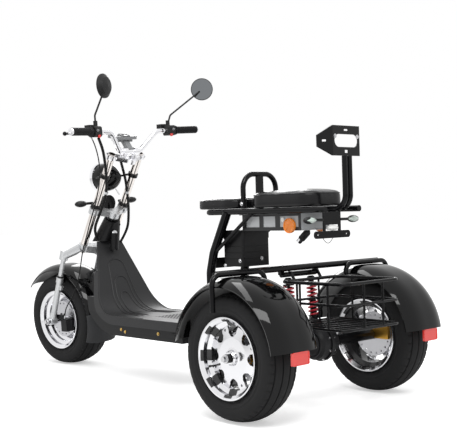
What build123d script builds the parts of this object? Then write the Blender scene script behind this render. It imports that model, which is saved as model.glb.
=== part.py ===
from build123d import *
import math
import os

# Electric three-wheeled scooter.  Millimetres, +X forward, +Y to the rider's left, +Z up.
# Stations along X are counted from the rear axle; export() moves the origin to the ground
# under the middle of the vehicle's length.

# ---------------------------------------------------------------- driving dimensions
wheelbase = 1571.0
track = 712.0
tyre_radius = 217.0
rear_tyre_half_width = 70.0
front_tyre_half_width = 77.0
rim_lip_radius = 138.0
bead_radius = 127.0
fit = 0.3                    # running or seating gap between curved pieces

rake = 31.4                  # steering axis, degrees from vertical
axis_x = 1214.0              # steering axis passes this station ...
axis_z = 683.0               # ... at this height
steer_at_rest = 6.0          # parked with the bars turned a little to the left
steer_each_way = 35.0

fork_tube_offset = 40.0      # tubes stand this far ahead of the steering axis
fork_tube_half_gap = 82.0
fork_tube_diameter = 33.0
leg_half_gap = 107.0
leg_top_x = 1447.0
leg_top_z = 520.0

deck_z = 273.0
deck_half_width = 165.0
deck_rear_x = 545.0
shield_top_z = 585.0
post_x = 441.0
post_y = 90.0
post_diameter = 34.0
shield_lean = 24.0
shield_top_half_width = 66.0
shield_bend = 150.0
tray_depth = 38.0
tray_top_depth = 14.0
shell = 5.0

fender_crown_radius = 268.0
fender_edge_radius = 240.0
fender_outer_y = 448.0
fender_inner_y = 236.0
fender_wall = 4.0

seat_base_z = 712.0
seat_rail_half_gap = 90.0
seat_rail_diameter = 22.0

basket_half_width = 145.0
basket_front_x = 8.0
basket_rear_x = -285.0
basket_floor_z = 298.0
basket_top_z = 451.0
basket_rod = 9.0

bar_end_y = 365.0
bar_end_z = 1068.0
bar_diameter = 22.2
grip_length = 125.0
grip_diameter = 33.0

front_end_x = wheelbase + tyre_radius
rear_end_x = -fender_crown_radius
origin_x = (front_end_x + rear_end_x) / 2

# ---------------------------------------------------------------- shared helpers
up_axis = Vector(-math.sin(math.radians(rake)), 0, math.cos(math.radians(rake)))
ahead = Vector(math.cos(math.radians(rake)), 0, math.sin(math.radians(rake)))
axis_point = Vector(axis_x, 0, axis_z)
steering_axis = Axis(axis_point, up_axis)
front_axle = Vector(wheelbase, 0, tyre_radius)

os.makedirs("parts", exist_ok=True)
nodes = {}


def keep(name, shape, steered=False):
    """Turn a steered piece to its parked angle and store it under its node's name."""
    shape = Part() + shape
    if steered:
        shape = shape.rotate(steering_axis, steer_at_rest)
    nodes[name] = Pos(-origin_x, 0, 0) * shape


def along_fork(distance, forward=0.0, side=0.0):
    """A point on the fork: distance up the steering axis from its datum, then ahead and to the left."""
    return axis_point + up_axis * distance + ahead * forward + Vector(0, side, 0)


def fork_plane(distance, forward=0.0, side=0.0):
    """A plane square to the steering axis, its local X pointing ahead and its local Z up the axis."""
    return Plane(along_fork(distance, forward, side), x_dir=ahead, z_dir=up_axis)


def rod(points, diameter, bend=0.0):
    """A round bar along straight runs, with one bend radius."""
    if len(points) > 2:
        path = FilletPolyline(*points, radius=bend)
    else:
        path = Line(*points)
    section = Plane(origin=path @ 0, z_dir=path % 0) * Circle(diameter / 2)
    return Part() + sweep(section, path=path)


def bar_between(start, end, diameter):
    """A straight round bar."""
    run = Vector(*end) - Vector(*start)
    return Part() + extrude(Plane(origin=start, z_dir=run) * Circle(diameter / 2), amount=run.length)


def both_sides(shape):
    """The shape and its mirror image on the other side."""
    return Part() + shape + mirror(shape, about=Plane.XZ)


def cross_pin(x, y, z, radius, length):
    """A round pin along Y, centred on the point."""
    return Pos(x, y, z) * Rot(90, 0, 0) * Cylinder(radius, length)


def side_plate(points, y, thickness):
    """A flat plate in the XZ plane, from y outwards to the left by its thickness."""
    face = Plane.XZ * make_face(Polyline(*points, close=True))
    return Pos(0, y, 0) * extrude(face, amount=-thickness)


# ---------------------------------------------------------------- wheels
tyre_wall = 11.0
rim_wall = 4.5
spoke_thickness = 12.0
hub_radius = 34.0
hub_bore = 10.0
hub_length = 45.0            # from the rim's face to the disc's seat
pocket_count = 8             # rounded pockets between the rear wheels' spokes
pocket_root_radius = 70.0
pocket_root_half = 15.0
pocket_mouth_half = 27.0
wheel_bolt_circle = 96.0     # radius of the four small holes in every other spoke
wheel_bolt_hole = 4.5
barrel_radius = 112.0
disc_radius = 85.0
disc_thickness = 4.0
disc_gap = 5.5               # between a turning disc and its caliper


def turned(outline):
    """Revolve a section drawn as axial X, radial Y, and lay its axis along Y."""
    return Rot(0, 0, 90) * revolve(outline, axis=Axis.X)


def tyre(half_width):
    """A wide low tyre: open carcass with rounded shoulders, its beads on the rim."""
    bead = half_width - 16.0 - fit
    shoulder = half_width - 13.0
    side = make_face([
        Line((bead, bead_radius + fit), (bead, rim_lip_radius + 3)),
        Spline((bead, rim_lip_radius + 3), (half_width, 174), (shoulder, 205),
               tangents=((0.5, 1), (-0.75, 0.66))),
        Line((shoulder, 205), (shoulder - tyre_wall, 205 - tyre_wall)),
        Spline((shoulder - tyre_wall, 205 - tyre_wall), (half_width - tyre_wall, 174),
               (bead - tyre_wall, rim_lip_radius + 3), tangents=((0.75, -0.66), (-0.5, -1))),
        Line((bead - tyre_wall, rim_lip_radius + 3), (bead - tyre_wall, bead_radius + fit)),
        Line((bead - tyre_wall, bead_radius + fit), (bead, bead_radius + fit))])
    tread = make_face([
        ThreePointArc((shoulder, 205), (0, tyre_radius), (-shoulder, 205)),
        Line((-shoulder, 205), (-shoulder + tyre_wall, 205 - tyre_wall)),
        ThreePointArc((-shoulder + tyre_wall, 205 - tyre_wall), (0, tyre_radius - tyre_wall),
                      (shoulder - tyre_wall, 205 - tyre_wall)),
        Line((shoulder - tyre_wall, 205 - tyre_wall), (shoulder, 205))])
    return turned(side + tread + mirror(side, about=Plane.YZ))


def rim(half_width, face_at, cone, pockets):
    """A cast rim: barrel with two lips, a dished face sloping back by cone to the barrel, and its hub."""
    lip = half_width - 2.0
    seat = half_width - 16.0
    w = rim_wall
    barrel = make_face(Polyline(
        (lip, rim_lip_radius), (seat, rim_lip_radius - 1), (seat, bead_radius), (seat - 16, bead_radius),
        (seat - 24, barrel_radius), (-seat + 24, barrel_radius), (-seat + 16, bead_radius),
        (-seat, bead_radius),
        (-seat, rim_lip_radius - 1), (-lip, rim_lip_radius), (-lip, rim_lip_radius - w),
        (-seat - w, bead_radius - w), (-seat + 16 - w, bead_radius - w),
        (-seat + 24 - w, barrel_radius - w),
        (seat - 24 + w, barrel_radius - w), (seat - 16 + w, bead_radius - w), (seat + w, bead_radius - w),
        (lip, rim_lip_radius - w), close=True))
    dish = make_face(Polyline(
        (face_at, hub_radius - 2), (face_at, 66), (face_at - cone, barrel_radius),
        (face_at - cone - spoke_thickness, barrel_radius), (face_at - spoke_thickness, 66),
        (face_at - spoke_thickness, hub_radius - 2), close=True))
    hub = make_face(Polyline(
        (face_at + 16, hub_bore + fit), (face_at + 16, 20), (face_at + 10, 25), (face_at + 2, 27),
        (face_at, hub_radius), (face_at - hub_length, hub_radius - 4),
        (face_at - hub_length, hub_bore + fit),
        close=True))
    body = turned(barrel) + turned(dish) + turned(hub)
    if not pockets:
        return body
    pocket = make_hull((Pos(0, pocket_root_radius + pocket_root_half) * Circle(pocket_root_half)).edges()
                       + (Pos(0, barrel_radius - w - 2) * Rectangle(2 * pocket_mouth_half, 2)).edges())
    window = Pos(0, face_at + 20, 0) * extrude(Plane.XZ * pocket, amount=20 + cone + spoke_thickness + 1)
    for i in range(pocket_count):
        body -= Rot(0, 360 / pocket_count * i, 0) * window
    bolt_hole = cross_pin(0, face_at, wheel_bolt_circle, wheel_bolt_hole, 60)
    for i in range(pocket_count // 2):
        body -= Rot(0, 360 / pocket_count * (2 * i + 0.5), 0) * bolt_hole
    return body


def brake_disc(at):
    """A drilled steel disc bolted to the hub's inner end."""
    ring = Pos(0, at, 0) * Rot(90, 0, 0) * Cylinder(disc_radius, disc_thickness)
    ring -= Pos(0, at, 0) * Rot(90, 0, 0) * Cylinder(hub_bore + 5, disc_thickness * 3)
    hole = cross_pin(disc_radius - 12, at, 0, 4, 20)
    for i in range(18):
        ring -= Rot(0, 20 * i, 0) * hole
    return ring


rear_face_at = 36.0
rear_disc_at = rear_face_at - hub_length - disc_thickness / 2 - fit
for side_name, side in (("left", 1), ("right", -1)):
    place = Pos(0, side * track / 2, tyre_radius) * Rot(0, 0, 0 if side > 0 else 180)
    keep(f"rear_{side_name}_tyre", place * tyre(rear_tyre_half_width))
    keep(f"rear_{side_name}_rim", place * rim(rear_tyre_half_width, rear_face_at, 5, True))
    keep(f"rear_{side_name}_disc", place * brake_disc(rear_disc_at))

front_face_at = 6.0
front_disc_y = -front_face_at + hub_length + disc_thickness / 2 + fit
front_place = Pos(*front_axle)
keep("front_tyre", front_place * tyre(front_tyre_half_width), steered=True)
keep("front_rim", front_place * Rot(0, 0, 180) * rim(front_tyre_half_width, front_face_at, 24, False),
     steered=True)
keep("front_disc", front_place * brake_disc(front_disc_y), steered=True)

# ---------------------------------------------------------------- fork
tube_r = fork_tube_diameter / 2
top_clamp_at = (945 - axis_z) / math.cos(math.radians(rake)) - 6
lower_clamp_at = 22.0
bridge_at = -(axis_z - 548) / math.cos(math.radians(rake)) - 4

tube_top = top_clamp_at + 16
tube_length = tube_top - bridge_at + 24
tubes = both_sides(extrude(fork_plane(bridge_at - 24, fork_tube_offset, fork_tube_half_gap)
                           * Circle(tube_r), amount=tube_length))
tubes -= both_sides(extrude(fork_plane(bridge_at - 30, fork_tube_offset, fork_tube_half_gap)
                            * Circle(tube_r - 3), amount=tube_length + 20))
keep("fork_tubes", tubes, steered=True)
tube_bores = both_sides(extrude(fork_plane(bridge_at - 60, fork_tube_offset, fork_tube_half_gap)
                                * Circle(tube_r + fit), amount=tube_length + 120))


def yoke(at, thickness, boss_r, centre_r, web_width, centre_forward=0.0):
    """A cast fork yoke: two tube bosses joined by a web to the stem boss."""
    plane = fork_plane(at)
    outline = Pos(fork_tube_offset, fork_tube_half_gap) * Circle(boss_r)
    outline += Pos(fork_tube_offset, -fork_tube_half_gap) * Circle(boss_r)
    outline += Pos(centre_forward, 0) * Circle(centre_r)
    for side in (1, -1):
        tube_seat = Pos(fork_tube_offset, side * fork_tube_half_gap) * Circle(web_width / 2)
        outline += make_hull(tube_seat.edges()
                             + (Pos(centre_forward, 0) * Circle(web_width / 2)).edges())
    return extrude(plane * outline, amount=thickness)


top_clamp = yoke(top_clamp_at - 8, 20, tube_r + 8, 24, 30)
top_clamp -= tube_bores

head_radius = 28.0
head_top = 6.0
head_bottom = -112.0
stem_radius = 13.0
lower_clamp = yoke(lower_clamp_at - 6, 26, tube_r + 8, 27, 32)
lower_clamp -= tube_bores
stem = extrude(fork_plane(bridge_at - 4) * Circle(stem_radius), amount=lower_clamp_at - bridge_at + 4 - 6)
lower_clamp += stem
keep("lower_clamp", lower_clamp, steered=True)

bridge_thickness = 34.0
bridge = yoke(bridge_at - bridge_thickness / 2, bridge_thickness, tube_r + 6, 22, 36, 4)
leg_lean = math.degrees(math.atan2(front_axle.X - leg_top_x, leg_top_z - front_axle.Z))
leg_down = Vector(math.sin(math.radians(leg_lean)), 0, -math.cos(math.radians(leg_lean)))
arm_root = along_fork(bridge_at, fork_tube_offset, 0)
for side in (1, -1):
    root = Vector(arm_root.X - 6, side * 90, arm_root.Z)
    tip = Vector(leg_top_x, side * leg_half_gap, leg_top_z + 6)
    arm = loft([Plane(root, z_dir=tip - root) * RectangleRounded(38, 44, 12),
                Plane(tip, z_dir=tip - root) * RectangleRounded(34, 38, 14)])
    socket_top = Vector(leg_top_x, side * leg_half_gap, leg_top_z) - leg_down * 34
    socket = extrude(Plane(socket_top, z_dir=leg_down)
                     * Circle(21), amount=44)
    bridge += arm + socket
web_mid = Vector(arm_root.X + 34, 0, arm_root.Z - 8)
web = extrude(Plane(web_mid, x_dir=(0, 1, 0), z_dir=(0, 0, 1)) * RectangleRounded(170, 46, 16), amount=18)
bridge += web
bridge -= tube_bores
bridge -= extrude(fork_plane(bridge_at - 40) * Circle(stem_radius + fit), amount=80)
rod_r = 11.0
slider_r = 14.0
lug_half = 16.0
for side in (1, -1):
    top = Vector(leg_top_x, side * leg_half_gap, leg_top_z)
    bridge -= extrude(Plane(top - leg_down * 24, z_dir=leg_down) * Circle(rod_r + fit), amount=60)
keep("fork_bridge", bridge, steered=True)

leg_length = (front_axle.Z - leg_top_z) / leg_down.Z
seal_at = leg_length * 0.31
sliders = None
for side in (1, -1):
    top = Vector(leg_top_x, side * leg_half_gap, leg_top_z)
    chrome = extrude(Plane(top - leg_down * 22, z_dir=leg_down) * Circle(rod_r), amount=22 + seal_at + 20)
    collar = extrude(Plane(top + leg_down * seal_at, z_dir=leg_down) * Circle(slider_r + 3), amount=26)
    slider = extrude(Plane(top + leg_down * (seal_at + 20), z_dir=leg_down) * Circle(slider_r),
                     amount=leg_length - seal_at - 20)
    lug = cross_pin(front_axle.X, side * leg_half_gap, front_axle.Z, 19, 2 * lug_half)
    ear_at = top + leg_down * (seal_at + 46)
    ear = Pos(ear_at) * Rot(0, -leg_lean, 0) * Pos(-slider_r - 5, 0, 0) * Box(16, 12, 20)
    foot = extrude(Plane(top + leg_down * (leg_length - 46), z_dir=leg_down) * Circle(lug_half), amount=34)
    leg = chrome + collar + slider + lug + ear + foot
    sliders = leg if sliders is None else sliders + leg
sliders -= cross_pin(front_axle.X, 0, front_axle.Z, hub_bore + fit, 300)
keep("fork_sliders", sliders, steered=True)

axle_half = leg_half_gap + lug_half + 16
front_spindle = cross_pin(front_axle.X, 0, front_axle.Z, hub_bore, 2 * axle_half)
nut_thickness = 12.0
nut_y = leg_half_gap + lug_half + fit + nut_thickness / 2
front_spindle += both_sides(cross_pin(front_axle.X, nut_y, front_axle.Z, 14, nut_thickness))
sleeve_end = leg_half_gap - lug_half - fit
hub_outer = -front_face_at - 16 - fit
disc_outer = front_disc_y + disc_thickness / 2 + fit
for low, high in ((-sleeve_end, hub_outer), (disc_outer, sleeve_end)):
    sleeve = cross_pin(front_axle.X, (low + high) / 2, front_axle.Z, 15, high - low)
    front_spindle += sleeve
keep("front_axle", front_spindle, steered=True)

# ---------------------------------------------------------------- front fender and mud flap
front_fender_half = 88.0
front_crown = 262.0
front_edge = 236.0


def fender_shell(crown, edge, y_low, y_high, wall):
    """A full ring of curved fender section, axis along Y through the origin."""
    mid = (y_low + y_high) / 2
    third = (y_high - y_low) / 3
    outside = Spline((y_low, edge), (mid - third * 0.8, crown - 3), (mid, crown),
                     (mid + third * 0.8, crown - 3),
                     (y_high, edge))
    inside = Spline((y_low + wall * 0.4, edge - wall), (mid - third * 0.8, crown - 3 - wall),
                    (mid, crown - wall),
                    (mid + third * 0.8, crown - 3 - wall), (y_high - wall * 0.4, edge - wall))
    ends = [Line((y_low, edge), (y_low + wall * 0.4, edge - wall)),
            Line((y_high, edge), (y_high - wall * 0.4, edge - wall))]
    return make_face([outside, inside] + ends)


def fender_between(crown, edge, y_low, y_high, wall, start, end):
    """A fender from start to end, in degrees measured from straight ahead, up and over."""
    section_plane = Plane(origin=(0, 0, 0), x_dir=(0, 1, 0), z_dir=(0, 0, -1))
    section = section_plane * fender_shell(crown, edge, y_low, y_high, wall)
    return revolve(section.rotate(Axis.Y, -start), axis=Axis((0, 0, 0), (0, -1, 0)),
                   revolution_arc=end - start)


stay_out = leg_half_gap - slider_r - 3 - fit
front_fender = front_place * fender_between(front_crown, front_edge, -front_fender_half, front_fender_half,
                                            fender_wall, 40, 172)
front_flap = front_place * fender_between(front_crown, front_edge, -front_fender_half, front_fender_half,
                                          fender_wall, 172 + math.degrees(fit / front_crown), 203)
stay_top = front_axle - leg_down * (front_edge + 8)
stay_foot = leg_length - seal_at - 24
for side in (1, -1):
    stay = Plane(stay_top + Vector(0, side * (stay_out - 2.5), 0), x_dir=(0, 1, 0), z_dir=leg_down)
    front_fender += extrude(stay * Rectangle(5, 30), amount=front_edge + 8 - stay_foot)
keep("front_fender", front_fender, steered=True)
keep("front_mud_flap", front_flap, steered=True)

# ---------------------------------------------------------------- handlebar and its controls
bar_clamp = along_fork(top_clamp_at + 34, 22)
bar_r = bar_diameter / 2
riser_y = 32.0
sweep_back = math.tan(math.radians(10))
grip_axis_x = 985.0 + 35.0


def bar_point(y, up=0.0):
    """A point on the straight grip part of the bar at the left."""
    return (grip_axis_x - (y - 240) * sweep_back, y, bar_end_z + up)


left_half = [(bar_clamp.X, 58, bar_clamp.Z), (bar_clamp.X - 36, 130, bar_end_z - 4), bar_point(178),
             bar_point(bar_end_y - 6)]
bar_points = [(x, -y, z) for x, y, z in reversed(left_half)] + left_half
handlebar = rod(bar_points, bar_diameter, 32)
keep("handlebar", handlebar, steered=True)
risers = None
for side in (1, -1):
    base = along_fork(top_clamp_at + 12, 22, side * riser_y)
    riser = extrude(Plane(base, x_dir=ahead, z_dir=up_axis) * Circle(14), amount=14)
    cap = Pos(bar_clamp.X, side * riser_y, bar_clamp.Z) * Rot(90, 0, 0) * Cylinder(bar_r + 7, 24)
    riser += cap
    risers = riser if risers is None else risers + riser
risers -= Pos(bar_clamp.X, 0, bar_clamp.Z) * Rot(90, 0, 0) * Cylinder(bar_r + fit, 160)
keep("top_clamp", top_clamp + risers, steered=True)

grips = None
for side in (1, -1):
    inner = Vector(*bar_point(bar_end_y - grip_length))
    outer = Vector(*bar_point(bar_end_y))
    inner = Vector(inner.X, side * inner.Y, inner.Z)
    outer = Vector(outer.X, side * outer.Y, outer.Z)
    grip = bar_between(inner, outer, grip_diameter)
    grip -= bar_between(inner - (outer - inner), outer - (outer - inner).normalized() * 5,
                        bar_diameter + 2 * fit)
    grips = grip if grips is None else grips + grip
keep("grips", grips, steered=True)

controls = None
levers = None
for side in (1, -1):
    a = Vector(*bar_point(196))
    b = Vector(*bar_point(bar_end_y - grip_length - 2))
    a = Vector(a.X, side * a.Y, a.Z)
    b = Vector(b.X, side * b.Y, b.Z)
    housing = extrude(Plane(a, x_dir=(0, 0, 1), z_dir=b - a) * RectangleRounded(46, 42, 12),
                      amount=(b - a).length)
    perch = Pos(a.X + 34, a.Y + side * 14, a.Z + 16) * Box(30, 40, 30)
    part = housing + perch
    part -= bar_between(a - (b - a), b + (b - a), bar_diameter + 2 * fit)
    controls = part if controls is None else controls + part
    pivot = Vector(a.X + 42, a.Y + side * 18, a.Z + 2)
    elbow = pivot + Vector(16, side * 40, -2)
    reach = Vector(*bar_point(bar_end_y - 8)) + Vector(52, 0, -4)
    tip = Vector(reach.X, side * reach.Y, reach.Z)
    lever = rod([pivot, elbow, tip], 11, 24)
    lever += Pos(tip) * Sphere(9)
    lever += Pos(pivot.X - 5, pivot.Y, pivot.Z) * Box(14, 22, 18)
    lever -= part
    levers = lever if levers is None else levers + lever
keep("switch_housings", controls, steered=True)
keep("brake_levers", levers, steered=True)

mirror_radius = 52.0
mirror_glass_thickness = 2.5
mirrors = None
mirror_glasses = None
for side, lean, back, face_turn in ((-1, 240, 0, 47), (1, -40, -20, 163)):
    foot = Vector(*bar_point(212, 23 + fit))
    foot = Vector(foot.X, side * foot.Y, foot.Z)
    knee = foot + Vector(0, side * max(lean, 0) * 0.08, 46)
    centre = foot + Vector(back, side * lean, 168)
    boss = extrude(Plane(foot, z_dir=(0, 0, 1)) * Circle(9), amount=22)
    facing = Vector(-math.cos(math.radians(face_turn)), math.sin(math.radians(face_turn)), 0)
    stalk_end = centre + facing * -12 + (knee - centre).normalized() * 20
    stalk = rod([foot + Vector(0, 0, 6), knee, stalk_end], 8, 20)
    head = revolve(Plane(centre, x_dir=(0, 0, 1), z_dir=facing.cross(Vector(0, 0, 1))) * make_face(
        Polyline((0, 0), (mirror_radius, 0), (mirror_radius, 6), (mirror_radius - 16, 20), (0, 26),
                 close=True)),
        axis=Axis(centre, facing))
    recess_plane = Plane(centre, z_dir=-facing)
    recess = extrude(recess_plane * Circle(mirror_radius - 3), amount=mirror_glass_thickness + fit)
    glass = extrude(recess_plane * Circle(mirror_radius - 3 - fit), amount=mirror_glass_thickness)
    piece = boss + stalk + head - recess
    mirrors = piece if mirrors is None else mirrors + piece
    mirror_glasses = glass if mirror_glasses is None else mirror_glasses + glass
keep("mirrors", mirrors, steered=True)
keep("mirror_glasses", mirror_glasses, steered=True)

speedo_at = bar_clamp + Vector(44, 0, 62)
speedo_block = Plane(speedo_at, x_dir=(math.cos(0.22), 0, math.sin(0.22)),
                     z_dir=(-math.sin(0.22), 0, math.cos(0.22)))
speedo = extrude(speedo_block * RectangleRounded(78, 130, 26), amount=14)
speedo += extrude(speedo_block * RectangleRounded(56, 96, 20), amount=-12)
bracket = side_plate([(bar_clamp.X - 8, bar_clamp.Z + bar_r + fit),
                      (bar_clamp.X + 16, bar_clamp.Z + bar_r + fit),
                      (speedo_at.X + 4, speedo_at.Z - 2), (speedo_at.X - 22, speedo_at.Z - 4)], -14, 28)
keep("speedometer", speedo + bracket, steered=True)

# ---------------------------------------------------------------- lamps and horn on the fork
lamp_centre = along_fork((870 - axis_z) / math.cos(math.radians(rake)) - 52, fork_tube_offset + 54)
lamp_radius = 63.0
lamp_wall = 3.0
lamp_section = Plane(lamp_centre, x_dir=(1, 0, 0), z_dir=(0, -1, 0))


def lamp_turned(*edges):
    """Revolve a closed section about the headlight's axis; X is ahead of its centre, Y is the radius."""
    return Part() + revolve(lamp_section * make_face(list(edges)), axis=Axis(lamp_centre, (1, 0, 0)))


headlight = lamp_turned(
    Line((56, lamp_radius), (30, lamp_radius)),
    Spline((30, lamp_radius), (-14, 54), (-51, 25), (-60, 0), tangents=((-1, 0), (0, -1))),
    Line((-60, 0), (-60 + lamp_wall, 0)),
    Spline((-60 + lamp_wall, 0), (-49, 24), (-13, 51), (30, lamp_radius - lamp_wall),
           tangents=((0, 1), (1, 0))),
    Line((30, lamp_radius - lamp_wall), (56, lamp_radius - lamp_wall)),
    Line((56, lamp_radius - lamp_wall), (56, lamp_radius)))
ring_r = lamp_radius + fit + 3
ring = lamp_turned(
    Line((44, lamp_radius + fit), (44, ring_r)), Line((44, ring_r), (60, ring_r)),
    ThreePointArc((60, ring_r), (64.5, ring_r - 4), (63, ring_r - 9)),
    Line((63, ring_r - 9), (57, ring_r - 9)), Line((57, ring_r - 9), (57, lamp_radius + fit)),
    Line((57, lamp_radius + fit), (44, lamp_radius + fit)))
bowl = lamp_turned(
    Line((57, ring_r - 9.5), (57, ring_r - 11.5)), ThreePointArc((57, ring_r - 11.5), (24, 46), (6, 10)),
    Line((6, 10), (4, 10)), ThreePointArc((4, 10), (22, 48), (54, ring_r - 9.5)),
    Line((54, ring_r - 9.5), (57, ring_r - 9.5)))
keep("headlight_ring", ring + bowl, steered=True)
lens_r = ring_r - 9 - fit
lens_crown = 10.0
lens_ball_r = (lens_r ** 2 + lens_crown ** 2) / (2 * lens_crown)
lens_back = 57.3
lens_edge = 60.5
lens_front = lens_edge + lens_crown
lens_mid = lens_front - lens_ball_r + math.sqrt(lens_ball_r ** 2 - (lens_r / 2) ** 2)
lens = lamp_turned(
    Line((lens_back, 0), (lens_back, lens_r)), Line((lens_back, lens_r), (lens_edge, lens_r)),
    ThreePointArc((lens_edge, lens_r), (lens_mid, lens_r / 2), (lens_front, 0)),
    Line((lens_front, 0), (lens_back, 0)))
keep("headlight_lens", lens, steered=True)
lamp_up = (lamp_centre - along_fork(0, fork_tube_offset + 62)).length
for side in (1, -1):
    tube_ring = fork_plane(lamp_up + 30, fork_tube_offset, side * fork_tube_half_gap)
    headlight += extrude(tube_ring * Circle(tube_r + 6),
                         amount=16)
    headlight += bar_between(along_fork(lamp_up + 38, fork_tube_offset + 8,
                                        side * (fork_tube_half_gap - 6)),
                             lamp_centre + Vector(20, side * (lamp_radius - 2), 0), 10)
keep("headlight", headlight - tube_bores, steered=True)

signals = None
signal_at = along_fork(54, fork_tube_offset + tube_r + 10)
for side in (1, -1):
    root = Vector(signal_at.X, side * (fork_tube_half_gap - 8), signal_at.Z)
    bulb = Vector(signal_at.X, side * (fork_tube_half_gap + 66), signal_at.Z)
    stalk = bar_between(root, bulb, 12)
    body = Pos(bulb) * scale(Sphere(17), (1.3, 1.75, 0.85))
    ring = extrude(fork_plane(47, fork_tube_offset, side * fork_tube_half_gap) * Circle(tube_r + 6),
                   amount=14)
    part = stalk + body + ring
    signals = part if signals is None else signals + part
keep("front_turn_signals", signals - tube_bores, steered=True)

horn_at = along_fork(60, fork_tube_offset + 6)
horn = extrude(Plane(horn_at, z_dir=(1, 0, 0)) * Circle(36), amount=22)
horn += bar_between(horn_at + Vector(-1, 0, 0), along_fork(lower_clamp_at + 21, fork_tube_offset - 10), 10)
keep("horn", horn, steered=True)

# ---------------------------------------------------------------- front brake
caliper_in = front_disc_y - 12.5
caliper_out = leg_half_gap - lug_half - fit
caliper = Pos(front_axle.X - 62, (caliper_in + caliper_out) / 2, front_axle.Z - 22) * Box(
    40, caliper_out - caliper_in, 58)
caliper += Pos(front_axle.X - 30, caliper_out - 5, front_axle.Z + 16) * Box(64, 10, 22)
caliper -= cross_pin(front_axle.X, front_disc_y, front_axle.Z, disc_radius + disc_gap,
                     disc_thickness + 2 * disc_gap)
caliper -= cross_pin(front_axle.X, leg_half_gap, front_axle.Z, 19 + fit, 200)
keep("front_caliper", caliper, steered=True)

# ---------------------------------------------------------------- hose and cables
def loose_radii(points):
    """The largest tangent-arc radius at each corner of a cable's route."""
    radii = []
    for before, corner, after in zip(points, points[1:], points[2:]):
        a = Vector(*corner) - Vector(*before)
        b = Vector(*after) - Vector(*corner)
        half_turn = math.radians(a.get_angle(b)) / 2
        radii.append(0.45 * min(a.length, b.length) / math.tan(half_turn))
    return radii


def cable(points, diameter):
    """A cable along straight runs joined by arcs as large as the runs allow."""
    path = FilletPolyline(*points, radius=loose_radii(points))
    return Part() + sweep(Plane(origin=path @ 0, z_dir=path % 0) * Circle(diameter / 2), path=path)


hose_route = [(1505.8, 84, 230), (1488, 94, 262), (1452, 104, 296), (1412, 108, 330), (1378, 108, 372),
              (1352, 106, 420), (1334, 106, 470), (1316, 108, 520), (1292, 110, 572), (1262, 110, 626),
              (1233, 112, 680), (1202, 111, 734), (1172, 112, 788), (1146, 116, 842), (1124, 124, 894),
              (1108, 138, 944), (1092, 160, 990), (1078, 184, 1026), (1068, 204, 1048)]
left_bundle = [(1029.8, 197, 1041.2), (1048, 168, 1010), (1080, 132, 975), (1104, 108, 925),
               (1112, 100, 865),
               (1122, 98, 805), (1152, 98, 752), (1188, 97, 705), (1214, 94, 660)]
right_bundle = [(1136, -10, 946), (1142, -26, 905), (1152, -46, 855), (1162, -58, 800), (1170, -68, 745),
                (1184, -76, 692), (1196, -80, 645)]
cable_clips = bar_between((1122, 98, 805), along_fork(180, fork_tube_offset, fork_tube_half_gap), 9)
cable_clips += bar_between((1162, -58, 800), along_fork(150, fork_tube_offset, -fork_tube_half_gap), 9)
cables = cable(left_bundle, 13) + cable(right_bundle, 13) + cable(hose_route, 6)
keep("control_cables", cables + (cable_clips - tube_bores), steered=True)

# ---------------------------------------------------------------- footboard and battery box
lean = math.radians(shield_lean)
bend_x = 1238.0 - (shield_top_z - deck_z) * math.tan(lean)
front_top = (1238.0, shield_top_z)


def floor_solid(depth, thickness, top_thickness, half_bottom, half_top, rear_x, top_z):
    """An L of the given thickness, lying depth below the tread surface, trimmed to its width by height."""
    slope = Vector(math.cos(lean), 0, -math.sin(lean))
    top_in = Vector(front_top[0], 0, front_top[1]) + slope * depth
    top_out = top_in + slope * top_thickness
    path_in = FilletPolyline((rear_x, 0, deck_z - depth),
                             (bend_x + depth / math.cos(lean) - depth * math.tan(lean), 0, deck_z - depth),
                             (top_in.X + math.sin(lean) * 60, 0, top_in.Z + math.cos(lean) * 60),
                             radius=shield_bend + depth)
    far = depth + thickness
    path_out = FilletPolyline((rear_x, 0, deck_z - far),
                              (bend_x + far / math.cos(lean) - far * math.tan(lean), 0, deck_z - far),
                              (top_out.X + math.sin(lean) * 60, 0, top_out.Z + math.cos(lean) * 60),
                              radius=shield_bend + far)
    face = make_face([path_in, path_out, Line(path_in @ 0, path_out @ 0), Line(path_in @ 1, path_out @ 1)])
    slab = extrude(face, amount=half_bottom, dir=(0, 1, 0), both=True)
    waist_z = deck_z + 10
    outline = Plane.YZ * make_face(Polyline(
        (half_bottom, 0), (half_bottom, waist_z), (half_top, top_z), (-half_top, top_z),
        (-half_bottom, waist_z),
        (-half_bottom, 0), close=True))
    return slab & extrude(outline, amount=2000)


board = floor_solid(0, tray_depth, tray_top_depth, deck_half_width, shield_top_half_width, deck_rear_x,
                    shield_top_z)
hollow = floor_solid(shell, tray_depth, tray_depth, deck_half_width - shell, shield_top_half_width - shell,
                     deck_rear_x - 10,
                     shield_top_z + 30)
footboard = board - hollow
footboard -= extrude(fork_plane(head_bottom - 60) * Circle(head_radius + fit), amount=300)
keep("footboard", footboard)

battery_box_half = 157.0
battery_box_depth = 45.0
battery_box_front_z = 345.0
battery_box = floor_solid(tray_depth + fit, battery_box_depth, battery_box_depth, battery_box_half,
                          shield_top_half_width, deck_rear_x, shield_top_z)
battery_box -= Pos(bend_x, 0, battery_box_front_z + 200) * Box(1200, 600, 400)
latch = Pos(deck_rear_x + 52, battery_box_half + 3, deck_z - tray_depth - 20) * Box(34, 6, 22)
latch += cross_pin(deck_rear_x + 40, battery_box_half + 4, deck_z - tray_depth - 20, 5, 12)
battery_box += both_sides(latch)

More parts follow.
